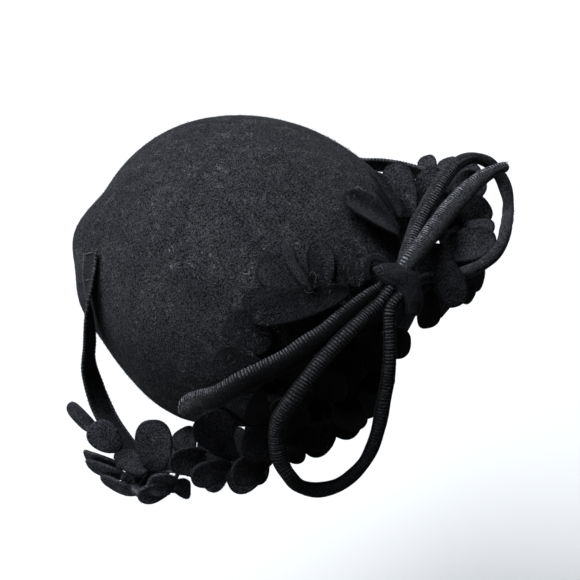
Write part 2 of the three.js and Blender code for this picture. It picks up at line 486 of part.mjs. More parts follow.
// A rolled felt cord along a line: an oval section whose broad side faces the bow's front
function cordGeometry(rows, steps, sides, room) {
  const out = V(BOW_FACES), points = [], faces = [];
  const value = (name, i) => along(rows, name, i / (steps - 1));
  const centres = Array.from({ length: steps }, (_, i) => new THREE.Vector3(value("x", i), value("y", i), value("z", i)));
  const ways = centres.map((_, i) => centres[Math.min(i + 1, steps - 1)].clone().sub(centres[Math.max(i - 1, 0)]).normalize());
  const ends = [];
  for (let i = 0; i < steps; i++) {
    const u = ways[i].clone().cross(out).normalize(), w = u.clone().cross(ways[i]);
    const shift = i === 0 ? -room : i === steps - 1 ? room : 0;
    const c = centres[i].clone().addScaledVector(ways[i], shift);
    if (shift || i === 0 || i === steps - 1) ends.push(c);
    for (let k = 0; k < sides; k++) {
      const a = (2 * Math.PI * (k + 0.5)) / sides;
      points.push(
        c.clone().addScaledVector(u, Math.cos(a) * (value("wide", i) + room)).addScaledVector(w, Math.sin(a) * (value("deep", i) + room)),
      );
    }
  }
  points.push(...ends);
  const first = points.length - 2, last = sides * (steps - 1);
  for (let k = 0; k < sides; k++) {
    const k2 = (k + 1) % sides;
    for (let i = 0; i < steps - 1; i++) {
      const a = sides * i + k, b = sides * i + k2;
      faces.push([a, b, b + sides], [a, b + sides, a + sides]);
    }
    faces.push([first, k2, k], [first + 1, last + k, last + k2]);
  }
  return closed(points, faces);
}

const hat = new THREE.Group();
function add(name, geometry, colour) {
  const mesh = new THREE.Mesh(geometry, new THREE.MeshStandardMaterial({ color: colour, roughness: 0.95, metalness: 0 }));
  mesh.name = name;
  hat.add(mesh);
}

add("crown", crownGeometry(), FELT_COLOURS.crown);
add("band", bandGeometry(), FELT_COLOURS.band);
for (const node of new Set(PETALS.map((p) => p.node))) {
  let sprig = null;
  for (const p of PETALS.filter((row) => row.node === node)) {
    const root = PETAL_ROOTS.find((r) => r.name === p.name);
    const petal = root ? petalWithTab(p, root) : solidOf(petalGeometry(p));
    sprig = sprig ? sprig.add(petal) : petal;
  }
  add(node, geometryOf(sprig), FELT_COLOURS.petals);
}
const CORDS = [
  ["bow_loop_big", BOW_LOOP_BIG, CORD.steps.loopBig],
  ["bow_loop_side", BOW_LOOP_SIDE, CORD.steps.loopSide],
  ["bow_tail_right", BOW_TAIL_RIGHT, CORD.steps.tailRight],
  ["bow_tail_left", BOW_TAIL_LEFT, CORD.steps.tailLeft],
];
let knot = solidOf(cordGeometry(KNOT_LINE, KNOT.steps, KNOT.sides, 0));
for (const [name, rows, steps] of CORDS) {
  add(name, cordGeometry(rows, steps, CORD.sides, 0), FELT_COLOURS.cord);
  knot = knot.subtract(solidOf(cordGeometry(rows, steps, CORD.sides, KNOT.room)));
}
add("bow_knot", geometryOf(knot), FELT_COLOURS.knot);

export default hat;
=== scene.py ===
import json
import math

import bpy
import numpy as np
from mathutils import Matrix, Vector, noise
from mathutils.bvhtree import BVHTree

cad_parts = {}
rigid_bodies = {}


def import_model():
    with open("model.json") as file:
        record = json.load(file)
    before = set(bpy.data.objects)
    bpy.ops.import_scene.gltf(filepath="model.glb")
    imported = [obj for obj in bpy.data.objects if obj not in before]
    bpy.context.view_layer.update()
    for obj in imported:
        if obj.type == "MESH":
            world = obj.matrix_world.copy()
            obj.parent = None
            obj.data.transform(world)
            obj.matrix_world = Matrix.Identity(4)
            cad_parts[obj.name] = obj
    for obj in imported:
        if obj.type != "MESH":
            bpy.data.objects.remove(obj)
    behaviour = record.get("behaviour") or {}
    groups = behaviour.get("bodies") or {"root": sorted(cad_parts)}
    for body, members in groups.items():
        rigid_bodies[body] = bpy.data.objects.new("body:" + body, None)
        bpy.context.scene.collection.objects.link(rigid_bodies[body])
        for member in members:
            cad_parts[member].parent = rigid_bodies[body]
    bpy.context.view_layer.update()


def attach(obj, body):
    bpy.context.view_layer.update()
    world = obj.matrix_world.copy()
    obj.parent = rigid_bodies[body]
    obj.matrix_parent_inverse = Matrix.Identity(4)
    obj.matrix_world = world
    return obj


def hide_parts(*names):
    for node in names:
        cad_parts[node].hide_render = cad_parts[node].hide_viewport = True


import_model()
scene = bpy.context.scene
MM = 0.001


def unit(a):
    a = np.asarray(a, float)
    return a / np.maximum(np.linalg.norm(a, axis=-1, keepdims=True), 1e-12)


# ---------------------------------------------------------------- camera
RIGHT = np.array([0.70798, -0.62354, -0.33162])
UP = np.array([0.66012, 0.41735, 0.62455])
BACK = np.array([-0.25103, -0.66108, 0.70708])
CAMERA_AT = np.array([-242.36, -675.16, 619.71])

lens = bpy.data.cameras.new("camera")
lens.lens = 119.36
lens.sensor_width = 36.0
lens.clip_start = 0.05
lens.clip_end = 50.0
camera = bpy.data.objects.new("camera", lens)
scene.collection.objects.link(camera)
camera.matrix_world = Matrix([
    [RIGHT[0], UP[0], BACK[0], CAMERA_AT[0] * MM],
    [RIGHT[1], UP[1], BACK[1], CAMERA_AT[1] * MM],
    [RIGHT[2], UP[2], BACK[2], CAMERA_AT[2] * MM],
    [0, 0, 0, 1],
])
scene.camera = camera

# ---------------------------------------------------------------- named sizes, as in the CAD
FELT = 2.0
PETAL = 1.8
BAND_WIDTH, BAND_THICK = 12.0, 1.6
CENTRE = np.array([0.0, 0.0, -76.0])
CROWN = dict(half=82.5, front=95.0, back=103.0, top=78.0)
BOW_FACES = np.array([-0.2510, -0.6611, 0.7071])


def table(columns, rows):
    return [dict(zip(columns, row)) for row in rows]


RIM = table(["turn", "rise"], [
    (-180, -12), (-135, -14), (-90, -16), (-60, -13), (-30, -8), (0, -5),
    (30, -8), (60, -12), (90, -14), (135, -14), (180, -12),
])
SWELLS = table(["x", "y", "z", "size", "spread"], [
    (-0.52, 0.72, 0.46, 8.4, 15),
    (-0.12, 0.77, 0.63, -2.2, 13),
    (-0.87, -0.05, 0.45, 1.6, 20),
    (-0.95, -0.15, -0.05, 1.6, 14),
    (-0.8, 0.45, 0.35, 5.8, 12),
    (-0.35, 0.8, 0.45, -4.4, 12),
    (-0.75, -0.5, -0.1, -1.5, 14),
    (-0.66, 0.62, 0.3, -1.8, 11),
])
BAND_LINE = np.array([  # x, y, z, faceX, faceY, faceZ
    (-57.3, 36.7, -20.9, -0.6, 0.15, 0.79),
    (-64.2, 31.8, -24.9, -0.64, 0.12, 0.76),
    (-71.4, 25.8, -29.4, -0.85, 0.25, 0.4),
    (-79.2, 21.2, -36.6, -0.63, 0.73, 0.28),
    (-86.6, 22.1, -52.8, -0.37, 0.89, 0.27),
    (-93.5, 22.6, -64.5, -0.36, 0.93, 0.11),
    (-97.9, 20.3, -75.9, -0.4, 0.6, -0.7),
    (-102, 15.2, -86.5, -0.25, 0.65, -0.7),
    (-105.3, 5.1, -95.1, -0.35, 0.5, -0.75),
    (-105.9, -10, -104.5, -0.6, 0.3, -0.75),
    (-100.2, -27.4, -110.2, -0.85, 0, -0.5),
    (-90.9, -44, -111.1, -0.87, -0.4, -0.25),
    (-77.7, -59.9, -107.2, -0.75, -0.65, -0.1),
    (-63.3, -73.1, -100.2, -0.55, -0.83, 0),
    (-47.9, -83.2, -92.9, -0.35, -0.93, 0),
    (-31, -92.3, -86.9, -0.15, -0.99, 0),
    (-12.9, -96, -79.4, 0.1, -0.99, 0),
    (6.5, -97, -71.9, 0.3, -0.95, 0),
    (26, -92.3, -68.4, 0.5, -0.87, 0),
    (46.1, -90, -71.5, 0.68, -0.73, 0),
    (66, -83.3, -73.8, 0.82, -0.57, 0),
    (84.2, -72, -76.6, 0.93, -0.37, 0),
    (97.2, -55.5, -77.6, 0.98, -0.2, 0),
    (101.3, -37.1, -78.9, 1, -0.05, 0),
    (98.7, -17.4, -79.8, 0.99, 0.1, 0),
    (94.1, -3.2, -79.4, 0.97, 0.2, 0.1),
    (87.7, 10.2, -79, 0.93, 0.3, 0.2),
    (85, 25, -77, 0.86, 0.45, 0.2),
    (78.5, 40, -73, 0.8, 0.55, 0.25),
    (67.7, 61.2, -64.9, 0.85, 0.5, 0.16),
])
PETALS = table(["node", "name", "baseX", "baseY", "baseZ", "tipX", "tipY", "tipZ", "width", "roll", "cup", "arch"], [
    ("band_petal_01", "band_petal_01", -73.9, -57.9, -95.9, -76.9, -49.9, -71.1, 25, 37, 2, 0.5),
    ("band_petal_02", "band_petal_02", -75.7, -72.6, -98, -67.4, -68.4, -78.5, 17, -49, 1, 1),
    ("band_petal_03", "band_petal_03", -49.6, -95.3, -76.7, -51, -93.6, -52.3, 20, -14, 1.5, 0.5),
    ("band_petal_04", "band_petal_04", -30.9, -100.8, -74.6, -26.5, -100.5, -50.4, 20, -32, 1.5, 0.5),
    ("band_petal_05", "band_petal_05", 6.5, -99, -71, 11.8, -115.9, -63, 17, -110, 1.2, 0.5),
    ("band_petal_06", "band_petal_06", 59.9, -84.8, -65.4, 81.1, -107, -62.3, 20, -64, 3, 0.5),
    ("band_petal_07", "band_petal_07", 65.6, -79.3, -66.4, 87.5, -99.4, -62.9, 15, -90, 1, 0.6),
    ("band_petal_08", "band_petal_08", 76.7, -75.9, -66.3, 101.6, -76.8, -74.2, 20, -28, 1.5, 0.5),
    ("band_petal_09", "band_petal_09", 102.3, -26.9, -86.2, 114.8, -10.6, -87, 12, -98, 1.2, 0.5),
    ("band_petal_10", "band_petal_10", 98.6, -52.7, -70.2, 111.4, -37.9, -70.6, 14, -87, 1.2, 0.5),
    ("band_petal_11", "band_petal_11", 86.5, -64.8, -66.9, 111.3, -63.6, -70, 19, -38, 1, 0.5),
    ("band_petal_12", "band_petal_12", 65.7, -75.5, -58.5, 87.5, -69.6, -56.8, 17, -51, 1, 0.5),
    ("band_petal_13", "band_petal_13", -11, -99.9, -79.2, -17.8, -99.9, -103, 19, 13, 1.5, 0.5),
    ("band_petal_14", "band_petal_14", -19.3, -101, -74.2, -14.9, -97.8, -52.5, 20, -26, 1.5, 0.5),
    ("band_petal_15", "band_petal_15", -6.6, -105.4, -73.6, 0.6, -102.7, -51.6, 20, -38, 1.5, 0.5),
    ("band_petal_16", "band_petal_16", 99.8, -38.4, -89, 126.6, -37.2, -89.8, 18, -68, 1, 0.5),
    ("band_petal_17", "band_petal_17", 61.1, -80.5, -75.7, 50.6, -76.3, -75.5, 13, 33, 0.5, 0.5),
    ("band_petal_18", "band_petal_18", -15.4, -104, -81.2, -0.1, -106.8, -78.4, 16, -59, 1, 0.5),
    ("band_petal_19", "band_petal_19", 70.9, -70.9, -75, 88.5, -58.8, -82.9, 16, -55, 1, 0.5),
    ("band_sprig_01", "band_sprig_01a", -112.8, 8.1, -91.3, -113.2, 23.8, -76.7, 14, 36, 1, 0.5),
    ("band_sprig_01", "band_sprig_01b", -111.7, -5.9, -96.4, -113.5, 4.2, -79.4, 18, 71, 1.2, 0.5),
    ("band_sprig_02", "band_sprig_02a", -113.5, -7, -95.3, -110.7, -25.8, -101.8, 17, -121, 1.2, 0.5),
    ("band_sprig_02", "band_sprig_02b", -106.5, -27.3, -104.2, -91.2, -18.4, -83.4, 22, 48, 1.6, 0.5),
    ("band_sprig_03", "band_sprig_03a", -115.3, -9.4, -104.5, -124.1, 13.5, -101.3, 15, 23, 1, 1),
    ("band_sprig_03", "band_sprig_03b", -117.1, -14.1, -106.5, -126.6, 7.9, -100.8, 14, 22, 1, 1),
    ("band_sprig_03", "band_sprig_03c", -117.6, -23.6, -113.2, -127.1, -2.9, -104.8, 13, 25, 1, 1),
    ("band_sprig_03", "band_sprig_03d", -115.9, -18.2, -109.9, -117.8, -33.7, -107.6, 15, -133, 1, 1),
    ("band_sprig_03", "band_sprig_03e", -109.2, -22.6, -110.7, -121.4, -13.4, -106.4, 14, 50, 1, 0.5),
    ("band_sprig_04", "band_sprig_04a", -105.1, -36.5, -110.6, -122.5, -33.2, -101, 14, 58, 1, 1),
    ("band_sprig_04", "band_sprig_04b", -103.7, -36.9, -110.5, -114.8, -34.2, -97.3, 15, 66, 2.4, 1),
    ("band_sprig_04", "band_sprig_04c", -105.4, -34.1, -112.7, -98.7, -32.4, -127.1, 12, -110, 1, 1),
    ("band_sprig_05", "band_sprig_05a", -84.5, -47.3, -99.9, -102, -42.8, -88.6, 17, 57, 1.2, 0.5),
    ("band_sprig_05", "band_sprig_05b", -80.5, -61.5, -101.6, -100.2, -57, -91.9, 16, 52, 1.2, 0.5),
    ("band_sprig_05", "band_sprig_05c", -67.9, -57.4, -106.4, -84.9, -40.5, -96.6, 20, 61, 1, 0.5),
    ("band_sprig_05", "band_sprig_05d", -83.4, -58.4, -103.6, -96.9, -54.6, -104.8, 16, 51, 1, 0.5),
    ("band_sprig_06", "band_sprig_06a", -88.6, -33.5, -105.5, -80.9, -17.8, -104.4, 16, 104, 1.5, 0.5),
    ("band_sprig_06", "band_sprig_06b", -100.9, -22, -116.1, -108.9, -6, -122, 15, 52, 1, 0.5),
    ("band_sprig_06", "band_sprig_06c", -99.7, -22.2, -115.9, -88.3, -7.9, -116.2, 15, 130, 1, 0.5),
    ("band_sprig_07", "band_sprig_07a", -70.4, -79.8, -97, -87.5, -79.9, -84, 18, 54, 1.5, 0.5),
    ("band_sprig_07", "band_sprig_07b", -67.8, -72.7, -98.7, -80.1, -65.4, -114, 18, 15, 1.5, 0.5),
    ("band_sprig_07", "band_sprig_07c", -57.3, -83.3, -89.2, -75.6, -79.3, -73.1, 22, 44, 1.2, 0.5),
    ("band_sprig_07", "band_sprig_07d", -71.5, -72.7, -106.5, -88.4, -65.3, -105.5, 17, 54, 1, 0.5),
    ("band_sprig_08", "band_sprig_08a", -53.7, -85.5, -89.1, -65.6, -99.5, -83.7, 18, 115, 1.5, 0.5),
    ("band_sprig_08", "band_sprig_08b", -53.2, -93.2, -85.6, -55.4, -83, -76.8, 16, 26, 1, 0.5),
    ("band_sprig_09", "band_sprig_09a", -39.7, -91.7, -85.7, -53.1, -105.3, -83.9, 20, 73, 1.5, 0.5),
    ("band_sprig_09", "band_sprig_09b", -37.6, -101.8, -84.5, -56, -98.2, -87.7, 18, 39, 1, 0.5),
    ("band_sprig_09", "band_sprig_09c", -33.5, -97.4, -85.3, -40.6, -87.3, -78.4, 15, 30, 1, 0.5),
    ("band_sprig_10", "band_sprig_10a", -24.2, -97.7, -80.6, -35.6, -115.5, -80.4, 20, 68, 1.5, 0.5),
    ("band_sprig_10", "band_sprig_10b", -21.7, -104.4, -78.9, -40.4, -106.9, -87.8, 18, 34, 1, 0.5),
    ("band_sprig_11", "band_sprig_11a", 42.1, -95.8, -68.1, 32.8, -95, -89.3, 14, 47, 1.5, 0.5),
    ("band_sprig_11", "band_sprig_11b", 46.5, -93.6, -75.8, 46.3, -92.6, -93.1, 14, 19, 1.2, 0.5),
    ("band_sprig_12", "band_sprig_12a", 56.4, -93.5, -74.5, 61.7, -97.3, -94.2, 15, 16, 1, 0.5),
    ("band_sprig_12", "band_sprig_12b", 65.4, -89.5, -76.2, 73, -92.4, -96.6, 19, 13, 1, 0.5),
    ("crown_petal_01", "crown_petal_01", -5.6, -77.1, -26.4, -16.7, -57.5, -12.6, 21, 4, 0.6, 1.2),
    ("crown_petal_02", "crown_petal_02", -36.7, -77, -40, -44.1, -57.8, -26, 25, 1, 0.6, 1.2),
    ("crown_petal_03", "crown_petal_03", -47.6, -81.3, -55.2, -58.6, -59, -36.8, 27, -2, 0.6, 1.4),
    ("crown_petal_04", "crown_petal_04", -47.9, -83.6, -51.5, -62.9, -75.2, -75.4, 21, -13, 1, 0.5),
    ("crown_petal_05", "crown_petal_05", 56.7, -68.5, -45.9, 65, -43.9, -32.3, 13, -8, 4, 0.8),
    ("crown_petal_06", "crown_petal_06", 50.8, -74.2, -47, 38.1, -57.3, -19.1, 24, 16, 3.2, 1.5),
    ("crown_petal_07", "crown_petal_07", -23.9, -86, -44.5, -44.4, -82.2, -61, 20, 8, 0.8, 1.2),
    ("crown_petal_08", "crown_petal_08", 10.5, -87.2, -39.7, 27.3, -72.3, -28.1, 19, -6, 0.8, 1),
    ("crown_petal_09", "crown_petal_09", -2.9, -81, -32, 13.8, -66.6, -19.5, 16, -7, 0.8, 1),
    ("crown_sprig_01", "crown_sprig_01a", -7.8, -84, -23.9, -1.4, -65.3, -3.9, 14, -78, 1, 1),
    ("crown_sprig_01", "crown_sprig_01b", -12.7, -81.2, -26.8, -34.5, -63.1, -18.9, 16, 11, 0.6, 1.4),
    ("crown_sprig_01", "crown_sprig_01c", 6.8, -89.9, -34.8, -37.3, -68.2, -23.8, 18, 14, 1.2, 4),
    ("crown_sprig_02", "crown_sprig_02a", 63.6, -65.5, -54.5, 77.8, -43.8, -38.8, 19, -75, 1.6, 0.8),
    ("crown_sprig_02", "crown_sprig_02b", 63.2, -62.7, -65.9, 93, -56.3, -49.3, 18, -75, 1.2, 0.8),
    ("crown_sprig_03", "crown_sprig_03a", 0.3, -88.9, -42.3, -27.9, -79.4, -37, 18, 8, 0.5, 1.3),
    ("crown_sprig_03", "crown_sprig_03b", 0.9, -91.8, -47.1, -21, -94, -62.5, 20, 6, 0.8, 1.2),
    ("crown_sprig_04", "crown_sprig_04a", 54.7, -96.3, -55.3, 44.1, -111.3, -73.1, 18, 42, 1.5, 0.8),
    ("crown_sprig_04", "crown_sprig_04b", 59.2, -94.3, -52.5, 47.2, -94.6, -57, 18, 38, 1, 0.5),
])
PETAL_ROOTS = {
    "band_petal_02": (-62.2, -59.7, -91.2),
    "band_petal_03": (-45.2, -80.3, -70.6),
    "band_petal_04": (-27.7, -90.4, -74.7),
    "band_petal_12": (60.3, -64.6, -63.7),
    "band_petal_13": (-13.7, -97.7, -84),
    "band_petal_14": (-17.9, -93.5, -71.1),
    "band_petal_15": (-6, -99.3, -72.5),
    "band_petal_18": (-13.5, -101.7, -80.3),
    "band_sprig_01a": (-111.4, 8.2, -90.5),
    "band_sprig_01b": (-113.3, 12.4, -87.1),
    "band_sprig_03a": (-122, -16.3, -110),
    "band_sprig_03b": (-116.4, -17.8, -108.1),
    "band_sprig_03e": (-107.8, -19.7, -106.7),
    "band_sprig_04a": (-111.2, -32.5, -109.3),
    "band_sprig_04c": (-111.2, -32.5, -109.3),
    "band_sprig_05a": (-88.2, -49, -103.1),
    "band_sprig_05b": (-85.7, -47.1, -99.1),
    "band_sprig_05c": (-85.7, -47.1, -99.1),
    "band_sprig_05d": (-81.8, -61.3, -100.9),
    "band_sprig_06a": (-94, -15.2, -115.6),
    "band_sprig_07a": (-70, -71.7, -101.2),
    "band_sprig_07c": (-71.6, -79.9, -96.1),
    "band_sprig_08b": (-46, -87.1, -87.8),
    "band_sprig_10a": (-23.6, -96.7, -79.6),
    "band_sprig_11b": (41.4, -95.9, -69.5),
    "band_sprig_12a": (55.2, -89.6, -73.5),
    "crown_petal_01": (-3.9, -75.2, -25.5),
    "crown_petal_02": (-35.9, -75.3, -40.8),
    "crown_petal_03": (-47.2, -74.1, -53.3),
    "crown_petal_04": (-53.4, -89.4, -55.5),
    "crown_petal_05": (53.6, -64.8, -47.5),
    "crown_petal_06": (48.3, -70.6, -48.4),
    "crown_petal_07": (-33.6, -82.8, -51.9),
    "crown_petal_08": (10.2, -84.9, -40.7),
    "crown_sprig_01c": (6.3, -83.5, -37.7),
    "crown_sprig_02a": (68.2, -61.8, -62.7),
    "crown_sprig_03a": (-9.9, -84.7, -40.3),
    "crown_sprig_03b": (-1.1, -88.6, -41.9),
    "crown_sprig_04b": (45.6, -77.9, -59.8),
}
BOW_LOOP_BIG = np.array([  # x, y, z, half width, half depth
    (22.3, -102.3, -39.8, 2.5, 2.6),
    (18, -102, -40.7, 2.7, 2.8),
    (11.8, -102.4, -41.5, 2.9, 3),
    (2, -102.6, -41.2, 3.2, 3.3),
    (-7.8, -104, -39.9, 3.6, 3.6),
    (-23.1, -102.7, -42.2, 3.7, 3.8),
    (-37.6, -102.4, -45.4, 3.9, 3.9),
    (-48, -101.9, -49, 4.1, 4),
    (-56.5, -98, -56.8, 4.2, 4.1),
    (-62.2, -96.4, -65.3, 4.2, 4.1),
    (-66.5, -97.9, -73, 4.3, 4.1),
    (-69.3, -100.1, -79.8, 4.1, 4),
    (-70.2, -103, -86.4, 3.7, 3.9),
    (-68.3, -102.6, -98.3, 3.6, 3.8),
    (-63, -105.9, -105.8, 3.8, 3.8),
    (-55.5, -110.8, -107.8, 3.7, 3.7),
    (-48.2, -114.6, -106.1, 3.4, 3.6),
    (-39.5, -117.7, -101.8, 3.3, 3.6),
    (-31.7, -119.3, -95.4, 3.4, 3.6),
    (-24.4, -119.3, -88.1, 3.6, 3.6),
    (-16.1, -118.2, -78.9, 3.6, 3.6),
    (-8.9, -116.9, -71, 3.5, 3.5),
    (-3.1, -116.1, -63, 3.4, 3.4),
    (4.1, -112.7, -54.5, 3.2, 3.2),
    (11.8, -107.9, -46.2, 3.1, 3),
    (16.6, -107, -43.5, 2.8, 2.8),
    (22.1, -108, -41.8, 2.5, 2.5),
])
BOW_LOOP_SIDE = np.array([
    (29.6, -97.2, -41.7, 2.6, 2.6),
    (38.5, -91.6, -43.2, 3.1, 2.9),
    (47.8, -85.8, -44.4, 3.7, 3.1),
    (60, -79, -45, 4.1, 3.2),
    (72.9, -73.3, -46.2, 4.1, 3.2),
    (84.7, -68.7, -47, 4, 3.2),
    (95.8, -63.9, -50, 3.8, 3.2),
    (105.2, -60.2, -54.7, 3.5, 3.1),
    (113.6, -59.2, -60.7, 3.1, 3.1),
    (119.3, -61.6, -68.6, 3.2, 3.1),
    (120.3, -65.5, -77.4, 3.5, 3.1),
    (119.1, -68.3, -83.1, 3.5, 3.1),
    (114.8, -73.8, -85.7, 3.1, 3.1),
    (104.9, -85.5, -79.9, 3.1, 3.1),
    (89.9, -104.2, -64.3, 3.1, 3.1),
    (81.4, -110.8, -62.2, 3.1, 3.1),
    (73.8, -113, -62.2, 3.1, 3.1),
    (65.9, -113.6, -60.9, 3.1, 3.1),
    (61.6, -106.6, -66.3, 3.3, 3.2),
    (57.4, -100.8, -68.3, 3.1, 3.1),
    (52.4, -97.4, -66.2, 3, 3),
    (45.6, -96.1, -61.5, 2.9, 2.9),
    (38.6, -97.9, -55.3, 2.7, 2.7),
    (31.2, -102.1, -48.5, 2.6, 2.6),
])
BOW_TAIL_RIGHT = np.array([
    (25.1, -97.4, -40.7, 2.6, 2.6),
    (19.6, -95.1, -42.5, 3, 2.8),
    (12.4, -94.2, -42.3, 3.6, 3.2),
    (-1.3, -94.3, -40.7, 4.6, 3.5),
    (-15, -95.3, -39.1, 5, 3.6),
    (-26.2, -92.2, -39.8, 5.3, 3.6),
    (-37.6, -88.6, -41.2, 5.4, 3.6),
    (-47.8, -83.3, -42.3, 5.4, 3.6),
    (-59.2, -77.1, -43.7, 5.5, 3.6),
    (-69.6, -67.1, -50.4, 5.5, 3.6),
    (-74.9, -57.3, -55.1, 5.5, 3.6),
    (-79.6, -49, -60.3, 4.8, 3.6),
    (-82.4, -45.7, -67.2, 3.2, 3),
])
BOW_TAIL_LEFT = np.array([
    (29.4, -102.2, -37.5, 3.8, 2.8),
    (37.1, -100.5, -36.8, 4.3, 3),
    (49.7, -94.4, -41.6, 4.7, 3.2),
    (62.7, -88.8, -45.5, 5, 3.3),
    (75.4, -83.1, -49.7, 5.1, 3.3),
    (87.8, -78.5, -53.7, 5, 3.2),
    (99, -75, -57.3, 4.4, 3.1),
    (107.9, -72.8, -60.9, 3.7, 2.9),
    (116.3, -72.3, -64.3, 3.1, 2.7),
    (122.5, -72.7, -67.8, 2.8, 2.5),
])
KNOT_LINE = np.array([
    (21.8, -91.5, -32.8, 2.6, 2.2),
    (23.3, -94.1, -34.6, 4.2, 3.6),
    (25.4, -97.3, -36.9, 5.6, 5.2),
    (27.7, -101, -39.5, 6.8, 6.2),
    (27.9, -104.9, -43.2, 6.8, 6.4),
    (25.5, -108.5, -47.3, 5.8, 5.6),
    (22.2, -111.3, -51.1, 4.8, 4.4),
    (19.9, -113, -53.6, 3.4, 3.2),
])


# ---------------------------------------------------------------- materials
def node(tree, kind, **inputs):
    n = tree.nodes.new(kind)
    for k, v in inputs.items():
        key = k.replace("_", " ")
        if key in n.inputs:
            n.inputs[key].default_value = v
        else:
            setattr(n, k, v)
    return n


def ramp(tree, source, stops):
    n = tree.nodes.new("ShaderNodeValToRGB")
    n.color_ramp.elements[0].position, n.color_ramp.elements[0].color = stops[0][0], (*stops[0][1], 1)
    n.color_ramp.elements[1].position, n.color_ramp.elements[1].color = stops[-1][0], (*stops[-1][1], 1)
    for at, c in stops[1:-1]:
        n.color_ramp.elements.new(at).color = (*c, 1)
    tree.links.new(source, n.inputs["Fac"])
    return n.outputs["Color"]


def felt(name, dark, light, hair=(0.13, 0.13, 0.135), hair_share=0.6, speck=(0.34, 0.34, 0.35), speck_share=0.7, grain=1.0, bump=0.55, sheen=0.10, painted_light_shade=False):
    """Black wool felt: matted fibres as coarse and fine grain, thin curled hairs, rare pale lint, a little sheen."""
    m = bpy.data.materials.new(name)
    m.use_nodes = True
    t = m.node_tree
    p = t.nodes["Principled BSDF"]
    p.inputs["Roughness"].default_value = 0.95
    p.inputs["Specular IOR Level"].default_value = 0.08
    p.inputs["Sheen Weight"].default_value = sheen
    p.inputs["Sheen Roughness"].default_value = 0.6
    p.inputs["Sheen Tint"].default_value = (0.62, 0.64, 0.7, 1)
    at = node(t, "ShaderNodeTexCoord").outputs["Object"]

    def tex(kind, **inputs):
        n = node(t, kind, **inputs)
        t.links.new(at, n.inputs["Vector"])
        return n

    def times(colour, other):
        mix = node(t, "ShaderNodeMix", data_type="RGBA", blend_type="MULTIPLY")
        mix.inputs["Factor"].default_value = 1.0
        t.links.new(colour, mix.inputs[6])
        t.links.new(other, mix.inputs[7])
        return mix.outputs[2]

    def over(colour, share, paint):
        mix = node(t, "ShaderNodeMix", data_type="RGBA", blend_type="MIX")
        t.links.new(share, mix.inputs["Factor"])
        t.links.new(colour, mix.inputs[6])
        mix.inputs[7].default_value = (*paint, 1)
        return mix.outputs[2]

    def curls(scale, thin, patch_scale, low, high, share, distortion):
        """Thin closed lines where a noise passes its middle, kept only in patches."""
        n = tex("ShaderNodeTexNoise", Scale=scale, Detail=1.0, Roughness=0.5, Distortion=distortion)
        line = ramp(t, n.outputs["Fac"], [(0.5 - thin, (0, 0, 0)), (0.5, (1, 1, 1)), (0.5 + thin, (0, 0, 0))])
        patch = tex("ShaderNodeTexNoise", Scale=patch_scale, Detail=2.0)
        there = ramp(t, patch.outputs["Fac"], [(low, (0, 0, 0)), (high, (share, share, share))])
        return times(line, there)

    fine = tex("ShaderNodeTexNoise", Scale=1300.0 / grain, Detail=1.5, Roughness=0.6, Distortion=0.4)
    fibre = tex("ShaderNodeTexNoise", Scale=600.0 / grain, Detail=3.0, Roughness=0.7, Distortion=2.2)
    mottle = tex("ShaderNodeTexNoise", Scale=42.0, Detail=3.0, Roughness=0.55)
    colour = ramp(t, fine.outputs["Fac"], [(0.40, dark), (0.60, light)])
    colour = times(colour, ramp(t, fibre.outputs["Fac"], [(0.38, (0.68, 0.68, 0.68)), (0.62, (1.34, 1.34, 1.35))]))
    colour = times(colour, ramp(t, mottle.outputs["Fac"], [(0.3, (0.82, 0.82, 0.84)), (0.7, (1.17, 1.17, 1.15))]))
    colour = over(colour, curls(330.0, 0.030, 150.0, 0.44, 0.62, hair_share, 1.6), hair)
    colour = over(colour, curls(210.0, 0.014, 120.0, 0.56, 0.68, speck_share, 2.4), speck)
    # painted light and shade: a per-vertex factor from the mesh lightens and darkens the felt's colour
    if painted_light_shade:
        colour = times(colour, node(t, "ShaderNodeAttribute", attribute_name="painted_light_shade").outputs["Color"])
    t.links.new(colour, p.inputs["Base Color"])
    # matted surface
    total = node(t, "ShaderNodeMath", operation="ADD")
    t.links.new(fine.outputs["Fac"], total.inputs[0])
    t.links.new(fibre.outputs["Fac"], total.inputs[1])
    b = node(t, "ShaderNodeBump", Strength=bump, Distance=0.0007)
    t.links.new(total.outputs[0], b.inputs["Height"])
    t.links.new(b.outputs["Normal"], p.inputs["Normal"])
    return m


def thread(name, colour):
    """Twisted sewing thread: fine slanting plies."""
    m = bpy.data.materials.new(name)
    m.use_nodes = True
    t = m.node_tree
    p = t.nodes["Principled BSDF"]
    p.inputs["Roughness"].default_value = 0.8
    p.inputs["Specular IOR Level"].default_value = 0.15
    at = node(t, "ShaderNodeTexCoord").outputs["Object"]
    w = node(t, "ShaderNodeTexNoise", Scale=2600.0, Detail=3.0, Distortion=1.5)
    t.links.new(at, w.inputs["Vector"])
    c = ramp(t, w.outputs["Fac"], [(0.35, tuple(v * 0.55 for v in colour)), (0.65, tuple(v * 1.4 for v in colour))])
    t.links.new(c, p.inputs["Base Color"])
    b = node(t, "ShaderNodeBump", Strength=0.4, Distance=0.0002)
    t.links.new(w.outputs["Fac"], b.inputs["Height"])
    t.links.new(b.outputs["Normal"], p.inputs["Normal"])
    return m


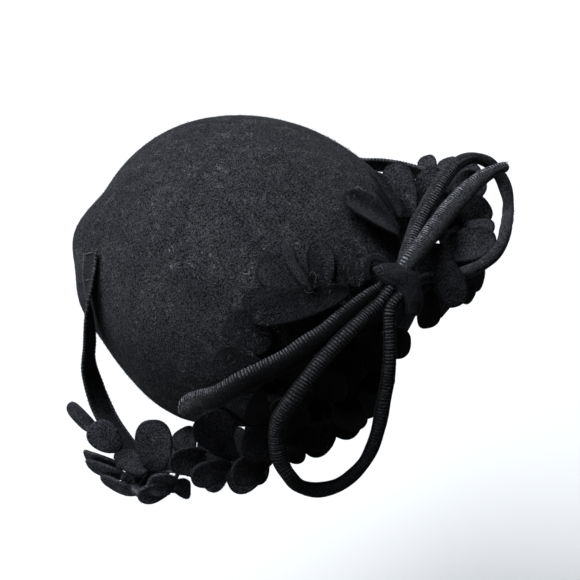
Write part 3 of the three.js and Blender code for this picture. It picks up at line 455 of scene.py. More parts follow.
CROWN_FELT = felt("crown_felt", (0.0028, 0.003, 0.0038), (0.042, 0.043, 0.048), hair=(0.12, 0.12, 0.126), speck=(0.30, 0.30, 0.31), speck_share=0.8, sheen=0.025)
BAND_FELT = felt("band_felt", (0.005, 0.0055, 0.0065), (0.042, 0.043, 0.048), hair=(0.10, 0.10, 0.105), speck_share=0.4, speck=(0.24, 0.24, 0.25), sheen=0.03, painted_light_shade=True)
PETAL_FELT = felt("petal_felt", (0.0055, 0.006, 0.0075), (0.045, 0.046, 0.053), hair=(0.11, 0.11, 0.12), speck=(0.28, 0.28, 0.29), speck_share=0.6, sheen=0.025, painted_light_shade=True)
CORD_FELT = felt("cord_felt", (0.006, 0.0065, 0.0075), (0.043, 0.044, 0.048), hair=(0.11, 0.11, 0.115), hair_share=0.55, speck_share=0.5, speck=(0.24, 0.24, 0.24), grain=0.9, bump=0.45, sheen=0.02, painted_light_shade=True)
# the knot's felt is made much darker than the cords' as painted shade
KNOT_FELT = felt("knot_felt", (0.006, 0.0065, 0.0075), (0.018, 0.019, 0.022), hair=(0.045, 0.045, 0.047), hair_share=0.3, speck_share=0.25, speck=(0.14, 0.14, 0.14), bump=0.3, sheen=0.03)
THREAD = thread("stitch_thread", (0.014, 0.015, 0.017))
THREAD_LIGHT = thread("stitch_thread_light", (0.14, 0.14, 0.145))
NAP = thread("nap_fibres", (0.075, 0.076, 0.082))
LINT = thread("lint_fibres", (0.26, 0.26, 0.27))


# ---------------------------------------------------------------- mesh helpers
def make(name, verts, faces, material, smooth=True, painted_light_shade=None):
    """An object from arrays: verts in mm, faces all with the same number of corners, or a list of such arrays."""
    groups = faces if isinstance(faces, list) else [faces]
    groups = [np.asarray(g, np.int32) for g in groups if len(g)]
    me = bpy.data.meshes.new(name)
    verts = np.asarray(verts, np.float32) * MM
    me.vertices.add(len(verts))
    me.vertices.foreach_set("co", verts.ravel())
    loops = np.concatenate([g.ravel() for g in groups])
    sizes = np.concatenate([np.full(len(g), g.shape[1], np.int32) for g in groups])
    starts = np.concatenate([[0], np.cumsum(sizes)[:-1]]).astype(np.int32)
    me.loops.add(len(loops))
    me.loops.foreach_set("vertex_index", loops)
    me.polygons.add(len(sizes))
    me.polygons.foreach_set("loop_start", starts)
    me.polygons.foreach_set("use_smooth", np.full(len(sizes), smooth, bool))
    me.update(calc_edges=True)
    me.validate()
    me.materials.append(material)
    # painted light and shade, kept per vertex for the felt to multiply its colour by
    if painted_light_shade is not None:
        a = me.attributes.new("painted_light_shade", "FLOAT_COLOR", "POINT")
        t = np.asarray(painted_light_shade, np.float32)
        a.data.foreach_set("color", np.stack([t, t, t, np.ones_like(t)], 1).ravel())
    o = bpy.data.objects.new(name, me)
    scene.collection.objects.link(o)
    return o


def outward(verts, quads):
    """The same faces, turned so that the closed body faces out."""
    v = np.asarray(verts, float)
    q = np.asarray(quads)
    a, b, c = v[q[:, 0]], v[q[:, 1]], v[q[:, 2]]
    s = np.einsum("ij,ij->i", a - v.mean(0), np.cross(b - a, c - a)).sum()
    if q.shape[1] == 4:
        d = v[q[:, 3]]
        s += np.einsum("ij,ij->i", a - v.mean(0), np.cross(c - a, d - a)).sum()
    return q if s > 0 else q[:, ::-1]


def catmull(rows, n):
    rows = np.asarray(rows, float)
    m = len(rows)
    t = np.linspace(0, m - 1, n)
    j = np.minimum(t.astype(int), m - 2)
    f = (t - j)[:, None]
    ext = np.vstack([2 * rows[0] - rows[1], rows, 2 * rows[-1] - rows[-2]])
    p0, p1, p2, p3 = ext[j], ext[j + 1], ext[j + 2], ext[j + 3]
    return 0.5 * (2 * p1 + (p2 - p0) * f + (2 * p0 - 5 * p1 + 4 * p2 - p3) * f**2 + (3 * p1 - p0 - 3 * p2 + p3) * f**3)


def even(points, step):
    """The same line at even steps of about that length."""
    seg = np.linalg.norm(np.diff(points, axis=0), axis=1)
    s = np.concatenate([[0], np.cumsum(seg)])
    n = max(int(round(s[-1] / step)), 2) + 1
    want = np.linspace(0, s[-1], n)
    return np.stack([np.interp(want, s, points[:, k]) for k in range(points.shape[1])], 1), want


def wobble(points, scale, seed):
    """Smooth noise from -1 to 1 at each point."""
    off = Vector((seed * 7.31, seed * 3.17, seed * 1.73))
    return np.array([noise.noise(Vector(p) * scale + off) for p in points])


def ring_faces(rings, count, first=0):
    r = np.arange(rings - 1)[:, None]
    k = np.arange(count)[None]
    k2 = (k + 1) % count
    a = first + r * count
    return np.stack([(a + k).ravel(), (a + count + k).ravel(), (a + count + k2).ravel(), (a + k2).ravel()], 1)


def sweep(points, frames_u, frames_w, outline, caps=True):
    """Rings of an outline(i) -> (n,2) along a line; ends closed with a middle point."""
    n = len(points)
    rings = [points[i] + np.outer(o[:, 0], frames_u[i]) + np.outer(o[:, 1], frames_w[i]) for i, o in ((i, outline(i)) for i in range(n))]
    count = len(rings[0])
    verts = np.concatenate(rings + [points[:1], points[-1:]])
    quads = ring_faces(n, count)
    k = np.arange(count)
    k2 = (k + 1) % count
    a, b = n * count, n * count + 1
    tris = np.concatenate([np.stack([np.full(count, a), k, k2], 1), np.stack([np.full(count, b), (n - 1) * count + k2, (n - 1) * count + k], 1)])
    return verts, quads, tris


def closed_sweep(points, u, w, outline):
    verts, quads, tris = sweep(points, u, w, outline)
    good = outward(verts, quads)
    if not np.array_equal(good, quads):
        tris = tris[:, ::-1]
    return verts, good, tris


def fibres(name, at, normal, length, width, material, seed, lean=0.9, bend=0.5):
    """Many short curved ribbons standing on a surface, as one mesh."""
    rng = np.random.default_rng(seed)
    n = len(at)
    side = unit(np.cross(normal, rng.normal(size=(n, 3))))
    way = unit(normal * rng.uniform(0.25, 1.0, (n, 1)) + side * lean * rng.uniform(0.2, 1.4, (n, 1)))
    flat = unit(np.cross(way, unit(rng.normal(size=(n, 3)))))
    curl = unit(np.cross(way, flat))
    ln = (length[0] + (length[1] - length[0]) * rng.random((n, 1)) ** 2)
    wd = width * rng.uniform(0.6, 1.3, (n, 1))
    p0 = at - normal * 0.1
    p1 = at + way * ln * 0.55 + curl * ln * 0.08 * bend
    p2 = at + way * ln * 0.9 + curl * ln * 0.45 * bend
    verts = np.stack([p0 - flat * wd / 2, p0 + flat * wd / 2, p1 - flat * wd * 0.4, p1 + flat * wd * 0.4, p2], 1).reshape(-1, 3)
    b = np.arange(n)[:, None] * 5
    quads = b + np.array([[0, 1, 3, 2]])
    tris = b + np.array([[2, 3, 4]])
    return make(name, verts, [quads, tris], material, smooth=False)


# ---------------------------------------------------------------- crown
def crown_reach(d):
    d = np.asarray(d, float)
    long = np.where(d[:, 1] < 0, CROWN["front"], CROWN["back"])
    r = 1 / np.sqrt((d[:, 0] / CROWN["half"]) ** 2 + (d[:, 1] / long) ** 2 + (d[:, 2] / CROWN["top"]) ** 2)
    for s in SWELLS:
        apart = np.degrees(np.arccos(np.clip(d @ unit([s["x"], s["y"], s["z"]]), -1, 1)))
        r = r + s["size"] * np.exp(-((apart / s["spread"]) ** 2))
    return r


def crown_normal(d):
    """Outward normals of the outer face along directions d, by small steps."""
    d = unit(d)
    a = unit(np.cross(d, np.array([0.31, 0.17, 0.93])))
    b = unit(np.cross(d, a))
    e = 1e-3
    p = d * crown_reach(d)[:, None]
    pa = unit(d + a * e)
    pb = unit(d + b * e)
    n = np.cross(pa * crown_reach(pa)[:, None] - p, pb * crown_reach(pb)[:, None] - p)
    n = unit(n)
    return n * np.sign(np.einsum("ij,ij->i", n, d))[:, None]


RINGS, SEGMENTS = 84, 168
turns = -180 + 360 * np.arange(SEGMENTS) / SEGMENTS
rims = np.interp(turns, [r["turn"] for r in RIM], [r["rise"] for r in RIM])


def crown_layer(fractions, inset):
    out = []
    for f in fractions:
        rise = np.radians(90 + (rims - 90) * f)
        tr = np.radians(turns)
        d = np.stack([np.cos(rise) * np.sin(tr), -np.cos(rise) * np.cos(tr), np.sin(rise)], 1)
        soft = 0.32 * wobble(d, 2.6, 3) + 0.13 * wobble(d, 7.0, 5)
        out.append(CENTRE + d * (crown_reach(d) - inset + soft)[:, None])
    return np.concatenate(out)


steps = np.linspace(0, 1, RINGS + 1)[1:]
outer = crown_layer(steps, 0.0)
inner = crown_layer(steps[::-1], FELT)
edge_way = unit(crown_layer([1.0], 0.0) - crown_layer([0.985], 0.0))
lip = []
for a in (30, 60, 90, 120, 150):  # rounded cut edge
    mid = crown_layer([1.0], FELT / 2)
    out_way = unit(crown_layer([1.0], 0.0) - crown_layer([1.0], FELT))
    lip.append(mid + out_way * (FELT / 2) * math.cos(math.radians(a)) + edge_way * (FELT / 2) * math.sin(math.radians(a)))
up_top = np.array([[0.0, 0.0, 1.0]])
apex_out = CENTRE + up_top * crown_reach(up_top)[:, None]
apex_in = CENTRE + up_top * (crown_reach(up_top) - FELT)[:, None]
verts = np.concatenate([outer] + lip + [inner, apex_out, apex_in])
rows = RINGS * 2 + len(lip)
quads = ring_faces(rows, SEGMENTS)
k = np.arange(SEGMENTS)
k2 = (k + 1) % SEGMENTS
last = (rows - 1) * SEGMENTS
tris = np.concatenate([
    np.stack([np.full(SEGMENTS, rows * SEGMENTS), k, k2], 1),
    np.stack([np.full(SEGMENTS, rows * SEGMENTS + 1), last + k2, last + k], 1),
])
good = outward(verts, quads)
if not np.array_equal(good, quads):
    tris = tris[:, ::-1]
crown = make("crown_shell", verts, [good, tris], CROWN_FELT)
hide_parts("crown")
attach(crown, "root")

rng = np.random.default_rng(11)
d = unit(rng.normal(size=(64000, 3)))
d = d[d[:, 2] > -0.27]
rise = np.degrees(np.arcsin(d[:, 2]))
turn = np.degrees(np.arctan2(d[:, 0], -d[:, 1]))
d = d[rise > np.interp(turn, [r["turn"] for r in RIM], [r["rise"] for r in RIM]) + 0.5][:26000]
on = CENTRE + d * crown_reach(d)[:, None]
nap = fibres("crown_nap", on, crown_normal(d), (0.5, 2.4), 0.085, NAP, 12, lean=2.2)
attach(nap, "root")


# stray pale lint: thin curved hairs lying on the felt
def lint(name, dirs, seed, size=(1.0, 4.0), radius=0.03):
    rng = np.random.default_rng(seed)
    verts, quads = [], []
    for d0 in dirs:
        n0 = crown_normal(d0[None])[0]
        a = unit(np.cross(n0, rng.normal(size=3)))
        ln = rng.uniform(*size)
        curl = rng.uniform(-1.2, 1.2)
        pts = []
        for i in range(7):
            s = i / 6
            ang = curl * s * 1.6
            b = np.cross(n0, a)
            q = d0 * crown_reach(d0[None])[0] + (a * math.cos(ang) + b * math.sin(ang)) * ln * s
            dd = unit(q)
            lift = 0.12 + rng.uniform(0, 0.25) * (i % 3 == 1)
            pts.append(CENTRE + dd * (crown_reach(dd[None])[0] + lift))
        pts = np.array(pts)
        T = unit(np.gradient(pts, axis=0))
        u = unit(np.cross(T, n0))
        w = np.cross(T, u)
        base = sum(len(v) for v in verts)
        ring = np.concatenate([pts[i] + radius * (np.cos(t) * u[i] + np.sin(t) * w[i])[None] for i in range(7) for t in (0, 2.1, 4.2)])
        verts.append(ring)
        quads.append(ring_faces(7, 3) + base)
    return make(name, np.concatenate(verts), np.concatenate(quads), LINT)


rng = np.random.default_rng(21)
spread = unit(rng.normal(size=(900, 3)))
spread = spread[spread[:, 2] > 0.05][:45]
upper = unit(np.array([-0.25, 0.35, 0.9]) + rng.normal(size=(40, 3)) * 0.22)
hairs = lint("crown_lint", np.concatenate([spread, upper]), 22)
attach(hairs, "root")

# ---------------------------------------------------------------- band
line, run = even(catmull(BAND_LINE, 900), 1.0)
mid, face = line[:, :3], unit(line[:, 3:])
way = unit(np.gradient(mid, axis=0))
face = unit(face - way * np.sum(face * way, 1)[:, None])
across = np.cross(face, way)


def rounded_strip(half_w, half_t, n=7):
    """Outline of a felt strip with rounded long edges."""
    a = np.radians(np.linspace(-90, 90, n))
    right = np.stack([half_w - half_t + half_t * np.cos(a), half_t * np.sin(a)], 1)
    top = np.stack([np.linspace(half_w - half_t, -half_w + half_t, 8)[1:-1], np.full(6, half_t)], 1)
    left = np.stack([-half_w + half_t - half_t * np.cos(a), -half_t * np.sin(a)], 1)
    low = -top
    return np.concatenate([right, top, left, low])


# painted light: how light the two stitched edges of the strap are painted, the first the strap's dim edge, the second
# the bright painted highlight of its near edge
STRAP_EDGE_PAINTED_LIGHT = (0.6, 2.6)
edge_wave = 0.22 * wobble(mid, 0.09, 8)


def band_outline(i):
    o = rounded_strip(BAND_WIDTH / 2 - 0.1 + edge_wave[i], BAND_THICK / 2)
    o[:, 1] += 0.35 * (o[:, 0] / 6.5) ** 2  # the stitched edges pull out a little
    return o


verts, quads, tris = closed_sweep(mid, across, face, band_outline)
edge_highlight_share = np.clip((np.abs(rounded_strip(BAND_WIDTH / 2 - 0.1, BAND_THICK / 2)[:, 0]) - 4.6) / 0.9, 0, 1)
strap = np.interp(run, (0, 14, 30, 95, 125, 400), (1, 1, 1, 1, 0, 0))
side = rounded_strip(BAND_WIDTH / 2 - 0.1, BAND_THICK / 2)[:, 0]
lit_edge = np.where(side > 0, STRAP_EDGE_PAINTED_LIGHT[0], STRAP_EDGE_PAINTED_LIGHT[1])
# painted light and shade: the band's flat is darkened, its stitched edges painted lighter, and on the strap the edges
# take the values of STRAP_EDGE_PAINTED_LIGHT
painted_light_shade = np.concatenate([(0.62 + edge_highlight_share[None] * (1.3 + strap[:, None] * (lit_edge - 1.3)[None])).ravel(), [0.62, 0.62]])
band = make("band_strip", verts, [quads, tris], BAND_FELT, painted_light_shade=painted_light_shade)
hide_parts("band")
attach(band, "root")


def tubes(name, paths, radius, material, sides=6):
    """Many short thread tubes as one mesh."""
    verts, quads = [], []
    base = 0
    for pts in paths:
        pts = np.asarray(pts, float)
        T = unit(np.gradient(pts, axis=0))
        ref = unit(np.cross(T[0], [0.3, 0.5, 0.8]))
        us = []
        for t in T:
            ref = unit(ref - t * (ref @ t))
            us.append(ref)
        us = np.array(us)
        ws = np.cross(T, us)
        r = np.full(len(pts), radius)
        r[0] = r[-1] = radius * 0.5
        ring = np.concatenate([pts[i] + r[i] * (np.outer(np.cos(a), us[i]) + np.outer(np.sin(a), ws[i])) for a in [2 * np.pi * np.arange(sides) / sides] for i in range(len(pts))])
        verts.append(ring)
        quads.append(ring_faces(len(pts), sides) + base)
        base += len(ring)
    return make(name, np.concatenate(verts), np.concatenate(quads), material)


# whip stitches over both edges of the band
paths = []
rng = np.random.default_rng(31)
for edge in (1, -1):
    for s in np.arange(1.2, run[-1] - 1, 2.1):
        i = int(np.clip(np.searchsorted(run, s), 1, len(run) - 2))
        slant = way[i] * (0.55 + rng.uniform(-0.2, 0.2))
        h, t = BAND_WIDTH / 2, BAND_THICK / 2
        pts = [
            mid[i] + across[i] * edge * (h - 1.5) + face[i] * (t + 0.12) - slant,
            mid[i] + across[i] * edge * (h - 0.5) + face[i] * (t + 0.38) - slant * 0.4,
            mid[i] + across[i] * edge * (h + 0.18) + face[i] * 0.35,
            mid[i] + across[i] * edge * (h - 0.4) - face[i] * (t - 0.15) + slant * 0.4,
            mid[i] + across[i] * edge * (h - 1.3) - face[i] * (t - 0.1) + slant,
        ]
        paths.append(pts)
stitches = tubes("band_stitches", paths, 0.13, THREAD_LIGHT)
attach(stitches, "root")

# two tacks that hold the band's end on the crown
paths = []
for i, reach in ((1, (-4.5, 3.5)), (15, (-1.2, 1.4))):
    c = mid[i] + face[i] * (BAND_THICK / 2 + 0.35)
    paths.append([c + across[i] * (reach[0] + (reach[1] - reach[0]) * q) + face[i] * (0.3 * math.sin(math.pi * q) - (0.5 if q in (0, 1) else 0)) for q in (0, 0.25, 0.5, 0.75, 1)])
tacks = tubes("band_tacks", paths, 0.3, THREAD_LIGHT)
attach(tacks, "root")


# ---------------------------------------------------------------- petals
def carrier_point(p):
    """The nearest point of the band's or the crown's face to p."""
    d = unit(p - CENTRE)
    on_crown = CENTRE + d * (crown_reach(d[None])[0])
    i = int(np.argmin(np.linalg.norm(mid - p, axis=1)))
    near = mid[i] + across[i] * np.clip((p - mid[i]) @ across[i], -5, 5)
    return min((on_crown, near), key=lambda q: np.linalg.norm(q - p))


RHO = np.array([0.001, 0.22, 0.42, 0.60, 0.74, 0.84, 0.90, 0.94, 0.97, 0.99, 1.0])
AROUND = 48


def petal_frame(p):
    base = np.array([p["baseX"], p["baseY"], p["baseZ"]])
    tip = np.array([p["tipX"], p["tipY"], p["tipZ"]])
    length = np.linalg.norm(tip - base)
    w = (tip - base) / length
    f = (base + tip) / 2 - CENTRE
    f = unit(f - w * (f @ w))
    a = math.radians(p["roll"])
    f = f * math.cos(a) + np.cross(w, f) * math.sin(a)
    return base, tip, length, w, f, np.cross(f, w)


# painted light and shade per petal: below 1 darkens as painted shade, above 1 lightens as painted light
PETAL_PAINTED_LIGHT = {
    "band_petal_03": 0.08, "band_petal_04": 0.05, "band_sprig_08a": 0.1, "band_sprig_08b": 0.09,
    "band_sprig_09c": 0.05, "band_sprig_10a": 0.05, "band_sprig_10b": 0.05,
    "band_sprig_01a": 2.2, "band_sprig_01b": 2.3, "band_sprig_02a": 0.75, "band_sprig_02b": 1.1, "band_sprig_04a": 3.0, "band_sprig_04b": 3.0, "band_sprig_04c": 2.4,
    "band_sprig_03a": 2.4, "band_sprig_03b": 2.4, "band_sprig_03c": 2.4, "band_sprig_03d": 2.2, "band_sprig_03e": 2.4,
    "crown_sprig_01a": 1.4, "crown_sprig_01b": 0.5, "crown_sprig_01c": 0.36, "crown_petal_01": 0.62, "crown_petal_02": 0.5, "crown_petal_03": 0.5,
    "crown_petal_04": 0.3, "crown_petal_05": 0.95, "crown_petal_06": 0.85, "crown_petal_07": 0.15, "crown_petal_08": 0.7, "crown_petal_09": 0.7,
    "crown_sprig_03a": 0.22, "crown_sprig_03b": 0.12, "crown_sprig_02a": 0.95, "crown_sprig_02b": 0.95,
}


def petal_painted_light(p):
    """Painted light and shade of a petal's felt: the crown's petals and those under the bow are darkened as painted
    shade, the outer ones on the left lightened as painted light.
    """
    if p["name"] in PETAL_PAINTED_LIGHT:
        return PETAL_PAINTED_LIGHT[p["name"]]
    if p["node"].startswith("crown"):
        return 0.6
    return float(np.interp(p["baseX"], (-115, -100, -85, -70, -55, -40, -25, 20, 50, 60, 90), (2.2, 1.6, 1.1, 0.62, 0.34, 0.15, 0.07, 0.06, 0.2, 0.7, 1.25)))


def petal_mesh(p, seed):
    base, tip, length, w, f, ac = petal_frame(p)
    th = 2 * np.pi * np.arange(AROUND) / AROUND
    s, c = np.sin(th), np.cos(th)
    W = p["width"]
    x = length * (0.5 + 0.5 * np.outer(RHO, c))
    y = W / 2 * np.outer(RHO, np.sign(s) * np.abs(s) ** 0.8 * (0.86 + 0.14 * c))
    rho0 = 1 - PETAL / W
    half = PETAL / 2 * np.sqrt(np.clip(1 - np.clip((RHO - rho0) / (1 - rho0), 0, 1) ** 2, 0, 1))
    wave = wobble(np.stack([3 * c, 3 * s, np.full_like(c, seed)], 1), 0.35, seed)
    curl = 0.75 * np.outer(RHO**3, wave)
    crease = -0.35 * np.exp(-((y / (0.10 * W)) ** 2)) * np.clip(1 - x / (0.8 * length), 0, 1)
    h = p["cup"] * (2 * y / W) ** 2 + p["arch"] * 4 * (x / length) * (1 - x / length) + curl + crease
    mid_s = base + x[..., None] * w + y[..., None] * ac + h[..., None] * f
    slope_x = p["arch"] * (4 / length) * (1 - 2 * x / length)
    slope_y = p["cup"] * 8 * y / W**2
    n = unit(f - slope_x[..., None] * w - slope_y[..., None] * ac)
    top = mid_s + n * half[:, None, None]
    low = mid_s - n * half[:, None, None]
    verts = np.concatenate([top.reshape(-1, 3), low[:-1][::-1].reshape(-1, 3)])
    rings = 2 * len(RHO) - 1
    quads = ring_faces(rings, AROUND)
    a, b = np.arange(AROUND), (rings - 1) * AROUND + np.arange(AROUND)
    k2 = (np.arange(AROUND) + 1) % AROUND
    verts = np.concatenate([verts, top[:1].mean(1), low[:1].mean(1)])
    m = rings * AROUND
    tris = np.concatenate([np.stack([np.full(AROUND, m), a, k2], 1), np.stack([np.full(AROUND, m + 1), (rings - 1) * AROUND + k2, b], 1)])
    good = outward(verts, quads)
    if not np.array_equal(good, quads):
        tris = tris[:, ::-1]
    # painted shade: the cut rim and the sewn base are darker than the flat of the felt, the rim so that it does not
    # catch the light and the base as the shade of its crease
    cut = (0.62 if p["node"].startswith("crown") else 0.45) * (1 + 0.45 * wave)
    rim = 1 - np.outer(np.clip((RHO - 0.86) / 0.12, 0, 1), np.clip(cut, 0.1, 0.85))
    base_painted_shade = 1 - 0.45 * np.clip(1 - x / (0.4 * length), 0, 1)
    shade = petal_painted_light(p) * rim * base_painted_shade * (1 + 0.12 * wave[None] * RHO[:, None])
    side = y / (W / 2) * np.sign(ac @ UP)  # -1 at the edge that looks down in the picture, 1 at the upper one
    # painted shadow along the edge of a crown petal that looks down in the picture
    if p["node"].startswith("crown"):
        shade = shade * (1 - 0.55 * np.clip((-side - 0.62) / 0.3, 0, 1))
    if p["name"] in ("crown_petal_05", "crown_petal_06"):  # painted shade in the deep hollow of a cupped petal, and a painted highlight along its upper rim
        shade = shade * (1 - 0.72 * np.exp(-(((side - 0.42) / 0.30) ** 2)) * np.clip(2.5 * x / length, 0, 1) * (RHO < 0.93)[:, None]) * (1 + 0.9 * np.exp(-(((side - 0.95) / 0.12) ** 2)))
    painted_light_shade = np.concatenate([shade.ravel(), shade[:-1][::-1].ravel(), shade[:1].mean(1), shade[:1].mean(1)])
    return verts, good, tris, (top, low, n), painted_light_shade


def petal_tab(p, root):
    """The base of the felt that runs back to where it is sewn."""
    base, tip, length, w, f, ac = petal_frame(p)
    inside = 3.5
    start = base + w * inside + f * (p["arch"] * 4 * (inside / length) * (1 - inside / length))
    gap = np.linalg.norm(root - start)
    run_way = unit(root - start)
    bow = start + w * -min(2.2, gap * 0.35)
    pts = np.array([(1 - t) ** 2 * start + 2 * t * (1 - t) * ((start + root) / 2 * 0.5 + bow * 0.5) + t**2 * (root + run_way * 0.7) for t in np.linspace(0, 1, 11)])
    T = unit(np.gradient(pts, axis=0))
    u = unit(ac - T * np.sum(ac * T, 1)[:, None])
    n = np.cross(T, u)
    a = np.radians(np.arange(0, 360, 22.5))
    wide0, wide1 = min(0.27 * p["width"], 5.2), 2.7

    def outline(i):
        t = i / 10
        half_w = wide0 + (wide1 - wide0) * t
        return np.stack([half_w * np.sign(np.cos(a)) * np.abs(np.cos(a)) ** 0.7, 0.85 * np.sign(np.sin(a)) * np.abs(np.sin(a)) ** 0.7], 1)

    return closed_sweep(pts, u, n, outline)


nap_at, nap_n = [], []
rng = np.random.default_rng(41)
sprigs = {}
for i, p in enumerate(PETALS):
    verts, quads, tris, (top, low, n), painted_light_shade = petal_mesh(p, 10 + i)
    base = petal_frame(p)[0]
    root = PETAL_ROOTS.get(p["name"])
    reach = carrier_point(base)
    if root is None and np.linalg.norm(reach - base) > 2.0:
        root = reach
    part = sprigs.setdefault(p["node"], [[], [], [], 0, []])
    bodies = [(verts, quads, tris)]
    if root is not None:
        bodies.append(petal_tab(p, np.array(root, float)))
    for v, q, tr in bodies:
        part[0].append(v)
        part[1].append(q + part[3])
        part[2].append(tr + part[3])
        part[3] += len(v)
        # the tab takes 0.6 of the petal's painted light and shade, as painted shade towards the sewn base
        part[4].append(painted_light_shade if len(v) == len(painted_light_shade) else np.full(len(v), 0.6 * petal_painted_light(p)))
    # fewer nap fibres on petals darkened as painted shade
    share = min(1.0, petal_painted_light(p)) ** 1.5
    for side, sign in ((top, 1), (low, -1)):
        pick_r = rng.integers(2, len(RHO), int(260 * share))
        pick_a = rng.integers(0, AROUND, int(260 * share))
        q = side[pick_r, pick_a] * 0.5 + side[pick_r - 1, (pick_a + 1) % AROUND] * 0.5
        nap_at.append(q)
        nap_n.append(n[pick_r, pick_a] * sign)
    rim = rng.integers(0, AROUND, int(140 * share))
    out = unit(top[-1] - top[:1].mean(1))
    nap_at.append(top[-1][rim])
    nap_n.append(out[rim])
for name, (verts, quads, tris, count, painted_light_shades) in sprigs.items():
    o = make(name + "_felt", np.concatenate(verts), [np.concatenate(quads), np.concatenate(tris)], PETAL_FELT, painted_light_shade=np.concatenate(painted_light_shades))
    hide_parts(name)
    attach(o, "root")
nap = fibres("petal_nap", np.concatenate(nap_at), np.concatenate(nap_n), (0.4, 1.7), 0.08, NAP, 42, lean=1.6)
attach(nap, "root")


# ---------------------------------------------------------------- bow of rolled felt cord
PITCH = 1.6


def line_frames(rows, step):
    """Even steps along a table of cord rows, with the CAD's own two axes of the section."""
    line, run = even(catmull(rows, 60 * len(rows)), step)
    at = line[:, :3]
    T = unit(np.gradient(at, axis=0))
    T = unit(np.stack([np.convolve(np.pad(T[:, k], 4, mode="edge"), np.ones(9) / 9, "valid") for k in range(3)], 1))
    u = unit(np.cross(T, BOW_FACES))
    w = np.cross(u, T)
    return at, line[:, 3], line[:, 4], run, T, u, w


def rounded_ends(run, end, rounded):
    """Share of the full section near the two ends of a line."""
    close = np.ones(len(run))
    if rounded[0]:
        close = np.minimum(close, np.sqrt(np.clip(1 - np.clip((end - run) / end, 0, 1) ** 2, 0.02, 1)))
    if rounded[1]:
        close = np.minimum(close, np.sqrt(np.clip(1 - np.clip((end - (run[-1] - run)) / end, 0, 1) ** 2, 0.02, 1)))
    return close


def closed_rings(rings, ends):
    n, count = len(rings), len(rings[0])
    verts = np.concatenate(list(rings) + [np.array(ends)])
    quads = ring_faces(n, count)
    k = np.arange(count)
    k2 = (k + 1) % count
    tris = np.concatenate([np.stack([np.full(count, n * count), k, k2], 1), np.stack([np.full(count, n * count + 1), (n - 1) * count + k2, (n - 1) * count + k], 1)])
    good = outward(verts, quads)
    if not np.array_equal(good, quads):
        tris = tris[:, ::-1]
    return verts, good, tris


